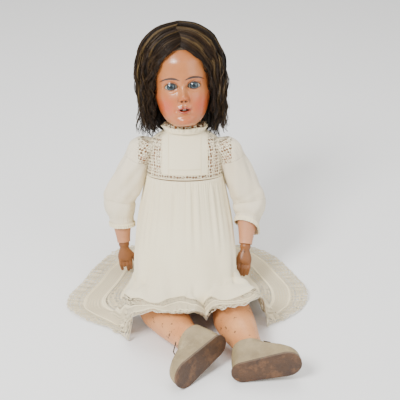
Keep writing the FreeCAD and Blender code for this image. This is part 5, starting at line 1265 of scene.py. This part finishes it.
def makeSkirt():
    plan = skirtPlan
    turn = roundTurn(plan["columns"])
    rings = [seamRing(157.55, 0.0, turn)] + [skirtRing(section, 0.0, turn) for section in plan["sections"]]
    rings[1:] = [draped(ring, plan["room"]) for ring in rings[1:]]
    points = draped(eased(draped(ringsToGrid(rings, plan["rows"]), plan["room"]), 5), plan["room"])
    points = eased(points, 2)
    fromHem = lengthsFromHem(points)
    fromSeam = fromHem[0][None, :] - fromHem
    normal = gridNormals(points)
    gathers = 1.25 * np.exp(-(fromSeam / 24)) * softStep(fromSeam, 0, 3) * wavy(turn, 96, 0.4)
    pleats = 1.9 * softStep(fromSeam, 2, 26) * (1 - softStep(fromSeam, 60, 150)) * wavy(turn, 30, 1.7)
    soft = 2.4 * softStep(fromSeam, 90, 190) * wavy(turn + 0.06 * np.sin(fromSeam / 60), 9, 0.6)
    frill = 2.0 * (1 - softStep(fromHem, plan["ruffle"] * 0.3, plan["ruffle"] + 1)) * wavy(turn, 66, 2.2)
    frill = frill + 0.5 * softStep(fromHem, plan["ruffle"] - 6, plan["ruffle"]) * (fromHem < plan["ruffle"] + 1.5)
    offset = gathers + pleats + soft + frill
    points = points + normal * (offset + 1.3)[..., None]
    scallop(points, turn, 4, 33, 7, 3.4, 1.4)
    points[..., 2] = np.maximum(points[..., 2], 1.7)
    knots, shares = np.array(plan["bandShares"]).T
    drawn = smoothCurve(knots, shares, np.clip(points[..., 0], knots[0], knots[-1]))
    drawn = 1 + (drawn - 1) * softStep(-points[..., 1], 60, 120)
    fromHem = levelled(lengthsFromHem(points) * drawn, 5)
    width = 2 * math.pi * 0.21
    along = fromHem * 0.001
    uv = gridUv(len(points), len(turn), True, np.linspace(0, width, len(turn) + 1), along)
    mesh = meshFrom("skirt", points.reshape(-1, 3), gridFaces(len(points), len(turn), True), uv, outward=False)
    made = newObject("dress_skirt_cloth", mesh, skirtLawn)
    thickened(made, 0.5)
    settle(made, "torso", "dress_lawn", "dress_skirt")
    levels = [(plan["ruffle"] + 1.0, 0.8), (plan["eyelet"][1] + 1.2, 0.8), (plan["insertion"][1] + 0.8, 0.45)]
    for number, (level, radius) in enumerate(levels):
        line = lineAt(points, fromHem, level, 0.5)
        cord = roundCord("skirt_cord_" + str(number + 1), line, radius, 8, dressLawn)
        settle(cord, "torso", "dress_lawn")
    edge = lineAt(points, fromHem, 0.4, 0.0)
    settle(roundCord("skirt_lace_edge", edge, 0.42, 6, laceThread),
                        "torso", "dress_lawn")
    return points


def makePetticoat():
    plan = petticoatPlan
    turn = roundTurn(plan["columns"])
    rings = [seamRing(111.8, plan["under"], turn)]
    rings += [draped(skirtRing(s, plan["under"], turn), skirtPlan["room"] - plan["under"])
              for s in skirtPlan["sections"][plan["first"]:plan["last"]]]
    points = draped(eased(draped(ringsToGrid(rings, plan["rows"]), plan["room"]), 3), plan["room"])
    fromHem = lengthsFromHem(points)
    fromSeam = fromHem[0][None, :] - fromHem
    normal = gridNormals(points)
    folds = 0.6 * softStep(fromSeam, 0, 10) * wavy(turn, 60, 0.9) * (1 - softStep(fromHem, 0, 30) * 0.3)
    points = points - normal * (0.7 - folds * 0.6)[..., None]
    scallop(points, turn, 3, 26, 6, 3.0, 1.3)
    points[..., 2] = np.maximum(points[..., 2], 1.2)
    fromHem = lengthsFromHem(points)
    uv = gridUv(len(points), len(turn), True, np.linspace(0, 0.9, len(turn) + 1), fromHem * 0.001)
    mesh = meshFrom("petticoat", points.reshape(-1, 3), gridFaces(len(points), len(turn), True), uv, outward=False)
    made = newObject("petticoat_cloth", mesh, shadedPetticoatCotton)
    thickened(made, 0.5)
    settle(made, "torso", "petticoat_cotton", "petticoat")
    edge = lineAt(points, fromHem, 0.4, 0.0)
    rim = settle(roundCord("petticoat_lace_edge", edge, 0.4, 6, laceThread),
                 "torso", "petticoat_cotton")


skirtLawn = buildCloth("skirt lawn with lace", clothTones["lawn"],
                       [(-0.01, 0.0305, "lace"), (0.034, 0.060, "eyelet"), (0.0645, 0.0825, "lace")])
shadedPetticoatCotton = buildCloth("petticoat cotton", clothTones["shadedCotton"], [(-0.01, 0.020, "lace")])
laceThread = buildPlain("lace thread", (0.82, 0.78, 0.68, 1), (0.68, 0.61, 0.48, 1), 0.9, 500.0, None, 0.5)
makeSkirt()
makePetticoat()
print("skirt and petticoat laid")


# Yoke, collar, sleeves and cuffs

torsoRings = [(-0.170, 0.46, 0.46, 0.60), (-0.145, 0.72, 0.72, 0.84), (-0.105, 0.96, 0.98, 1.08),
              (-0.020, 1.08, 1.12, 1.22),
              (0.110, 1.08, 1.22, 1.20), (0.230, 1.02, 1.24, 1.04), (0.370, 0.94, 1.12, 0.94),
              (0.520, 0.95, 1.02, 0.96),
              (0.680, 1.00, 0.98, 0.98), (0.800, 1.02, 0.88, 0.92), (0.880, 0.97, 0.74, 0.82),
              (0.935, 0.76, 0.64, 0.72),
              (0.965, 0.56, 0.61, 0.66), (0.985, 0.47, 0.60, 0.62)]
yokePlan = {"bottom": 157.6, "top": 234.5, "grow": 2.5, "columns": 300, "rows": 70, "panel": 27.0, "tucks": 38.5,
            "insertion": 57.0, "panelBottom": 176.0}


def yokePoints(height, turn, grow):
    shares = [row[0] for row in torsoRings]
    part = height / torsoSizes["length"]
    wide = smoothCurve(shares, [row[1] for row in torsoRings], part) * torsoSizes["halfWidth"] + grow
    front = smoothCurve(shares, [row[2] for row in torsoRings], part) * torsoSizes["halfDepth"] + grow
    back = smoothCurve(shares, [row[3] for row in torsoRings], part) * torsoSizes["halfDepth"] + grow
    return np.stack([wide * np.cos(turn), np.where(np.sin(turn) > 0, back, front) * np.sin(turn),
                     height + 0 * turn], -1)


def makeYoke():
    plan = yokePlan
    turn = roundTurn(plan["columns"])
    heights = np.linspace(plan["bottom"], plan["top"], plan["rows"])[:, None] + 0 * turn[None, :]
    base = yokePoints(heights, turn[None, :] + 0 * heights, plan["grow"])
    side = np.abs(base[..., 0])
    front = base[..., 1] < 0
    # fine tucks beside the panel, a plain panel and a worked band along the bottom
    tucks = 0.45 * np.clip(np.sin(side * 2 * math.pi / 2.9), 0,
                           1) * (side > plan["panel"]) * (side < plan["tucks"]) * front
    panel = 0.5 * (side < plan["panel"]) * (heights > plan["panelBottom"]) * front
    band = 0.9 * softStep(plan["bottom"] + 9 - heights, -0.6, 0.6)
    picots = 0.35 * band * np.sin(turn[None, :] * 150)
    slack = 0.5 * wavy(turn, 7, 0.3)[None, :] * softStep(heights, 165, 200)
    grown = base.copy()
    centre = np.stack([0 * side, 0 * side, heights], -1)
    way = base - centre
    way /= np.maximum(np.linalg.norm(way, axis=-1), 1e-6)[..., None]
    grown = base + way * (tucks + panel + band + picots + slack)[..., None]
    points = placed(grown.reshape(-1, 3), torsoPlace).reshape(grown.shape)
    arc = np.concatenate([[0], np.cumsum(np.linalg.norm(np.diff(np.concatenate([points[20], points[20][:1]]),
                                                                axis=0), axis=-1))])
    uv = gridUv(len(points), len(turn), True, arc * 0.001, heights * 0.001)
    mesh = meshFrom("yoke", points.reshape(-1, 3), gridFaces(len(points), len(turn), True), uv, outward=False)
    made = newObject("dress_yoke_cloth", mesh, dressLawn, yokeLace)
    rowMiddle = (heights[:-1] + heights[1:]) / 2
    sideMiddle = (side[:-1] + np.roll(side, -1, 1)[:-1]) / 2
    frontMiddle = front[:-1]
    lace = frontMiddle & (sideMiddle > plan["tucks"]) & (rowMiddle > plan["bottom"] + 9)
    lace |= (rowMiddle > plan["bottom"] + 2) & (rowMiddle < plan["bottom"] + 8)
    made.data.polygons.foreach_set("material_index", lace.ravel().astype(np.int32))
    thickened(made, 0.5)
    settle(made, "torso", "dress_lawn", "dress_yoke")
    cords = []
    column = np.linspace(plan["bottom"] + 1, plan["top"] - 1, 60)
    lines = []
    for level in (plan["panel"], plan["tucks"], plan["tucks"] + 9.5, plan["insertion"]):
        for sign in (-1, 1):
            wide = yokePoints(column, 0 * column, plan["grow"])[:, 0]
            spot = sign * np.minimum(level, wide * 0.97)
            angle = -np.arccos(np.clip(spot / wide, -1, 1))
            keep = yokePoints(column, angle, plan["grow"] + 0.7)
            lines.append(placed(keep, torsoPlace))
    across = np.linspace(-plan["panel"], plan["panel"], 40)
    wide = torsoSizes["halfWidth"] + plan["grow"]
    level = np.full(40, plan["panelBottom"])
    lines.append(placed(yokePoints(level, -np.arccos(across / wide), plan["grow"] + 0.7), torsoPlace))
    cords.append(tubesAlong("yoke_cords", lines, [np.ones(len(line)) for line in lines], 0.5, 6, dressLawn))
    for number, level in enumerate((plan["bottom"] + 0.6, plan["bottom"] + 9.0)):
        ring = placed(yokePoints(np.full(220, level), roundTurn(220), plan["grow"] + 1.2),
                      torsoPlace)
        cords.append(roundCord("yoke_band_cord_" + str(number + 1), ring, 0.7, 8, dressLawn))
    for cord in cords:
        settle(cord, "torso", "dress_lawn")


def makeCollar():
    turn = roundTurn(420)
    parts = []
    for name, radius, low, high, size, count in (("inner", 33.6, 234.6, 247.6, 2.4, 27),
                                                 ("outer", 34.4, 234.9, 244.0, 3.4, 23)):
        share = np.linspace(0, 1, 16)[:, None]
        heights = low + (high - low) * share + 0 * turn[None, :]
        flare = size * share ** 1.2 * wavy(turn, count, 0.7 if name == "inner" else 2.1)[None, :]
        reach = radius + flare + 3.4 * share ** 1.4 * (1 if name == "outer" else 0.35)
        edge = 0.9 * np.abs(np.sin(turn * 60))[None, :] * (share > 0.93)
        lift = 1.3 * share * wavy(turn, 5, 1.0)[None, :]
        points = np.stack([reach * np.cos(turn), reach * np.sin(turn), heights + edge + lift], -1)
        points = placed(points.reshape(-1, 3), torsoPlace).reshape(points.shape)
        along = (heights - low) * 0.001
        uv = gridUv(16, len(turn), True, np.linspace(0, 0.24, len(turn) + 1), along)
        mesh = meshFrom("collar", points.reshape(-1, 3), gridFaces(16, len(turn), True), uv, outward=False)
        made = newObject("dress_collar_" + name, mesh, collarLawn)
        thickened(made, 0.45)
        settle(made, "torso", "dress_lawn", "dress_collar")
        parts.append(made)
    ring = placed(np.stack([35.2 * np.cos(turn), 35.2 * np.sin(turn), 0 * turn + 235.4], -1), torsoPlace)
    settle(roundCord("collar_cord", ring, 0.9, 8, dressLawn), "torso", "dress_lawn")


collarLawn = buildCloth("collar lawn with lace", clothTones["lawn"], [(0.0085, 0.05, "lace")])
makeYoke()
makeCollar()

sleevePlan = {"columns": 150, "rowsPerPiece": (26, 46, 40), "armRadius": 17.0, "fullRadius": 28.0,
              "frillLength": 0.0105,
              "arch": {"right": (2.0, -2.0), "left": (-11.0, 9.0)}}


def sleeveGrid(side):
    limb = limbs[side]
    shoulder, elbow, upper, fore = limb["shoulder"], limb["elbow"], limb["upperWay"], limb["foreWay"]
    front = fore - upper * np.dot(fore, upper)
    front = unit(front)
    middleWay = unit(upper + fore)
    inward = np.array([-signs[side], 0.0, 0.0])
    arm, full = sleevePlan["armRadius"], sleevePlan["fullRadius"]
    downArm, downForearm = upper * poseOfDoll["upperArmLength"], fore * poseOfDoll["forearmLength"]
    # place, way along the sleeve, radius and depth of the folds
    stations = [(shoulder - upper * 20 + inward * 12, upper, arm * 0.06, 0.0),
                (shoulder - upper * 13 + inward * 8, upper, arm * 1.18, 0.3),
                (shoulder + upper * 1 + inward * 2, upper, arm * 1.46, 0.7),
                (shoulder + downArm * 0.20, upper, full * 0.84, 0.9),
                (shoulder + downArm * 0.45, upper, full * 0.93, 1.0),
                (shoulder + downArm * 0.74, upper, full * 0.98, 1.0), (elbow, middleWay, full, 1.0),
                (elbow + downForearm * 0.18, fore, full * 0.96, 1.0),
                (elbow + downForearm * 0.31, fore, full * 0.84, 0.9),
                (elbow + downForearm * 0.42, fore, 20.6, 0.4), (elbow + fore * 43.2, fore, 20.9, 0.5)]
    centres = np.array([s[0] for s in stations])
    frames = [frameAlong(s[0], s[1], front)[0] for s in stations]
    knots = np.concatenate([[0], np.cumsum(np.linalg.norm(np.diff(centres, axis=0), axis=-1))])
    return {"knots": knots, "centre": centres, "x": np.array([f[:, 0] for f in frames]),
            "y": np.array([f[:, 1] for f in frames]), "radius": np.array([s[2] for s in stations]),
            "fold": np.array([s[3] for s in stations])}


def sleeveRows(side, grid, low, high, rows):
    knots = grid["knots"]
    at = np.linspace(low, high, rows)
    turn = roundTurn(sleevePlan["columns"])[None, :]
    centre = smoothCurve(knots, grid["centre"], at)
    xWay, yWay = smoothCurve(knots, grid["x"], at), smoothCurve(knots, grid["y"], at)
    xWay /= np.linalg.norm(xWay, axis=-1)[:, None]
    yWay /= np.linalg.norm(yWay, axis=-1)[:, None]
    radius = smoothCurve(knots, grid["radius"], at)[:, None]
    fold = smoothCurve(knots, grid["fold"], at)[:, None]
    along = at[:, None]
    shift = 0.7 if side == "left" else 2.0
    broad = 1.9 * np.sin(3 * turn + along / 21 + shift) + 1.3 * np.sin(5 * turn - along / 15 + shift * 2)
    broad += 0.8 * np.sin(8 * turn + along / 11 + shift * 3)
    creases = 1.5 * np.exp(-((along - knots[6] + 4 * np.sin(2 * turn + shift)) / 5.5) ** 2)
    creases += 1.0 * np.exp(-((along - knots[6] + 17 + 5 * np.sin(turn + shift)) / 4.5) ** 2)
    gathers = 0.75 * wavy(turn, 34,
                          shift) * (np.exp(-((along - knots[9]) / 9) ** 2) + np.exp(-((along - knots[2]) / 9) ** 2))
    reach = radius + (broad - creases) * fold * 0.75 + gathers
    arch = sleevePlan["arch"][side]
    # the edge stands higher where the arm comes out of the sleeve
    frontness = (0.5 + 0.5 * np.sin(turn)) ** 1.4
    slide = (arch[1] + (arch[0] - arch[1]) * (1 - frontness)) * softStep(along, knots[7], knots[10])
    foreWay = limbs[side]["foreWay"]
    points = (centre[:, None, :] + xWay[:, None, :] * (reach * np.cos(turn))[..., None]
              + yWay[:, None, :] * (reach * np.sin(turn))[..., None])
    return points + foreWay * slide[..., None], at


def makeSleeves():
    for side in signs:
        grid = sleeveGrid(side)
        knots = grid["knots"]
        limb = limbs[side]
        spans = [("head", knots[0], knots[3], "torso", side + "_shoulder_ball",
                  limb["shoulder"] - limb["upperWay"] * 12,
                  limb["shoulder"] + limb["upperWay"] * 18),
                 ("upper", knots[3], knots[6], side + "_shoulder_ball", side + "_upper_arm",
                  limb["shoulder"] + limb["upperWay"] * 21, limb["shoulder"] + limb["upperWay"] * 55),
                 ("lower", knots[6], knots[10], side + "_elbow_ball", side + "_forearm",
                  limb["elbow"], limb["elbow"] + limb["foreWay"] * 26)]
        for (name, low, high, first, second, start, end), rows in zip(spans, sleevePlan["rowsPerPiece"]):
            points, at = sleeveRows(side, grid, low, high, rows)
            along = (at[:, None] - at[0] + 0 * points[..., 0]) * 0.001
            uv = gridUv(rows, sleevePlan["columns"], True, np.linspace(0, 0.17, sleevePlan["columns"] + 1), along)
            mesh = meshFrom("sleeve", points.reshape(-1, 3), gridFaces(rows, sleevePlan["columns"], True), uv,
                            outward=False)
            made = newObject(side + "_sleeve_" + name, mesh, sleeveLawn, yokeLace)
            if name == "head":
                inner = (np.abs(points[:-1, :, 0]) < 79) & (points[:-1, :, 1] < 60)
                made.data.polygons.foreach_set("material_index", inner.ravel().astype(np.int32))
            thickened(made, 0.45)
            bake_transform(made)
            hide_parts(side + "_sleeve")
        # cuff: a gathered band with a frill that turns out
        edge, at = sleeveRows(side, grid, knots[10] - 0.4, knots[10], 2)
        centre = edge[-1].mean(0)
        turn = roundTurn(sleevePlan["columns"])
        share = np.linspace(0, 1, 14)[:, None, None]
        out = edge[-1] - centre
        out = out - limb["foreWay"] * (out @ limb["foreWay"])[:, None]
        out /= np.linalg.norm(out, axis=-1)[:, None]
        frill = (1.7 * wavy(turn, 30, 0.5))[None, :, None] * share ** 1.3
        puff = 1.2 * np.sin(share * math.pi * 1.5)
        points = (edge[-1][None] + limb["foreWay"] * (share * 7.5 - 3.2) + out[None] * (frill + puff * (1 - share) + 1.1)
                  + limb["foreWay"] * (share > 0.9) * 0.7 * np.abs(np.sin(turn * 22))[None, :, None])
        uv = gridUv(14, len(turn), True, np.linspace(0, 0.15, len(turn) + 1),
                    (share[:, :, 0] * 8 + 0 * turn[None, :]) * 0.001)
        mesh = meshFrom("cuff", points.reshape(-1, 3), gridFaces(14, len(turn), True), uv, outward=False)
        made = newObject(side + "_cuff_frill", mesh, dressLawn)
        thickened(made, 0.5)
        settle(made, side + "_forearm", "dress_lawn", side + "_cuff")
        band = edge[-1] + out * 1.3 - limb["foreWay"] * 2.4
        settle(roundCord(side + "_cuff_cord", band, 0.8, 8, dressLawn),
               side + "_forearm", "dress_lawn")


makeSleeves()
print("dress made")


# Hands and shoes: softer copies of the CAD forms, with creases

def softCopy(node, name, voxel, smooth, material):
    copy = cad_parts[node].data.copy()
    copy.materials.clear()
    made = newObject(name, copy, material)
    remesh = made.modifiers.new("even mesh", "REMESH")
    remesh.mode = "VOXEL"
    remesh.voxel_size = voxel * 0.001
    ease = made.modifiers.new("ease", "SMOOTH")
    ease.factor = 0.5
    ease.iterations = smooth
    plainMesh(made)
    return made


def meshPoints(made):
    values = np.empty(len(made.data.vertices) * 3, np.float32)
    made.data.vertices.foreach_get("co", values)
    return values.reshape(-1, 3).astype(float) * 1000


def meshNormals(made):
    values = np.empty(len(made.data.vertices) * 3, np.float32)
    made.data.vertices.foreach_get("normal", values)
    return values.reshape(-1, 3).astype(float)


def setPoints(made, points):
    made.data.vertices.foreach_set("co", (points * 0.001).astype(np.float32).ravel())
    made.data.update()
    made.data.shade_smooth()


def ripples(points, length, shift):
    # a cheap even noise from crossed waves
    a = np.sin(points[:, 0] / length + shift) + np.sin(points[:, 1] / length * 1.31 + shift * 2)
    b = np.sin((points[:, 0] + points[:, 2]) / length * 0.83 + a) + np.sin((points[:, 1] - points[:,
                                                                                                  2]) / length * 1.17 - a)
    return (a + b) / 4


for side in signs:
    hand = softCopy(side + "_hand", "carved_hand_" + side, 0.75, 5, handComposition)
    spots = meshPoints(hand)
    setPoints(hand, spots + meshNormals(hand) * (0.12 * ripples(spots, 3.0, 0.4))[:, None])
    settle(hand, side + "_hand", "hand_composition", side + "_hand")
    upper = softCopy(side + "_shoe_upper", "leather_upper_" + side, 0.95, 3, shoeLeather)
    spots = meshPoints(upper)
    crease = 0.45 * ripples(spots, 7.0, 1.1) + 0.22 * ripples(spots, 2.6, 0.2)
    setPoints(upper, spots + meshNormals(upper) * crease[:, None])
    settle(upper, side + "_lower_leg", "shoe_leather", side + "_shoe_upper")
print("hands and shoes softened")


# Stringing, and materials of the CAD nodes that stay

elasticPlan = {"radius": 1.6, "behindHook": 6.4, "hookHeight": 197.0, "hookSide": 2.6, "handHook": 32.0,
               "legHook": 43.0}


def makeElastics():
    # the stringing comes in lengths that stay in their own limb, so that none shows when a joint moves
    plan = elasticPlan
    hook = placed([0, plan["behindHook"], poseOfDoll["shoulder"][1]], torsoPlace)
    runs = [("elastic_across", "torso", [limbs["right"]["shoulder"], hook, limbs["left"]["shoulder"]],
             "arm_elastic")]
    for side, sign in signs.items():
        limb = limbs[side]
        start = placed([sign * plan["hookSide"], 0, plan["hookHeight"]], torsoPlace)
        runs += [(side + "_elastic_hip", "torso", [start, limb["hip"]], side + "_leg_elastic"),
                 (side + "_elastic_upper_arm", side + "_upper_arm", [limb["shoulder"], limb["elbow"]], None),
                 (side + "_elastic_forearm", side + "_forearm",
                  [limb["elbow"], limb["wrist"] - limb["foreWay"] * plan["handHook"]], None),
                 (side + "_elastic_thigh", side + "_thigh", [limb["hip"], limb["knee"]], None),
                 (side + "_elastic_shin", side + "_lower_leg",
                  [limb["knee"], limb["knee"] + limb["shinWay"] * plan["legHook"]], None)]
    for name, body, corners, node in runs:
        line = smoothCurve(np.linspace(0, 1, len(corners)), np.array(corners), np.linspace(0, 1, 40))
        made = roundCord(name, line, plan["radius"], 12, elasticCord, closed=False)
        settle(made, body, "elastic", *([node] if node else []))


makeElastics()

nodeMaterials = [
    ("torso_shell", bodyComposition), ("neck_plug", turnedWood), ("neck_hook", ironWire), ("pate", corkPate),
    ("wig_cap", wigNet), ("eye_rocker", ironWire), ("eye_weight", leadWeight), ("teeth", toothCeramic),
    ("back_buttons", shellButton),
]
for side in signs:
    nodeMaterials += [
        (side + "_shoulder_ball", turnedWood), (side + "_elbow_ball", turnedWood), (side + "_hip_ball", turnedWood),
        (side + "_knee_ball", turnedWood), (side + "_upper_arm", armComposition),
        (side + "_forearm", armComposition),
        (side + "_hand_hook", ironWire), (side + "_thigh", legComposition), (side + "_lower_leg", legComposition),
        (side + "_leg_hook", ironWire), (side + "_shoe_sole", soleLeather), (side + "_shoe_tie", tieCord),
    ]
for node, material in nodeMaterials:
    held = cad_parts[node].data.materials
    if len(held) == 0:
        held.append(material)
    for number in range(len(held)):
        held[number] = material


# Floor, light and camera

stagePlan = {"floor": 3.0, "lens": 92.57, "camera": (0.026, -1.566, 0.9904), "aim": (0.026, 0.0233, 0.1454)}


def makeStage():
    size = stagePlan["floor"]
    mesh = bpy.data.meshes.new("floor")
    mesh.from_pydata([(-size, -size, 0), (size, -size, 0), (size, size, 0), (-size, size, 0)], [], [(0, 1, 2, 3)])
    material, tree, shader, where = startMaterial("pale floor", 0.9)
    grain = useGroup(tree, grainGroup, {"Vector": where["Object"], "Scale": 3.0, "Contrast": 0.5})
    tree.links.new(mixed(tree, grain["Mask"], (0.90, 0.90, 0.89, 1), (0.87, 0.87, 0.86, 1)),
                   shader.inputs["Base Color"])
    floor = newObject("floor", mesh, material)
    for name, place, aim, width, power in (("key", (-1.1, -1.5, 1.9), (0, -0.05, 0.2), 0.8, 84.0),
                                           ("fill", (1.6, -1.3, 1.2), (0, -0.05, 0.2), 1.4, 16.0),
                                           ("top", (0.1, 0.5, 2.2), (0, -0.05, 0.1), 1.4, 24.0)):
        light = bpy.data.lights.new(name, "AREA")
        light.shape = "SQUARE"
        light.size = width
        light.energy = power
        lamp = bpy.data.objects.new(name, light)
        lamp.location = place
        lamp.rotation_euler = (Vector(aim) - Vector(place)).to_track_quat("-Z", "Y").to_euler()
        bpy.context.scene.collection.objects.link(lamp)
    world = bpy.data.worlds.new("studio")
    world.use_nodes = True
    world.node_tree.nodes["Background"].inputs[0].default_value = (1.0, 0.99, 0.975, 1)
    world.node_tree.nodes["Background"].inputs[1].default_value = 0.85
    bpy.context.scene.world = world
    camera = bpy.data.cameras.new("camera")
    camera.lens = stagePlan["lens"]
    camera.sensor_width = 36.0
    view = bpy.data.objects.new("camera", camera)
    view.location = stagePlan["camera"]
    view.rotation_euler = (Vector(stagePlan["aim"]) - Vector(stagePlan["camera"])).to_track_quat("-Z",
                                                                                                 "Y").to_euler()
    bpy.context.scene.collection.objects.link(view)
    bpy.context.scene.camera = view


makeStage()
bpy.context.view_layer.update()
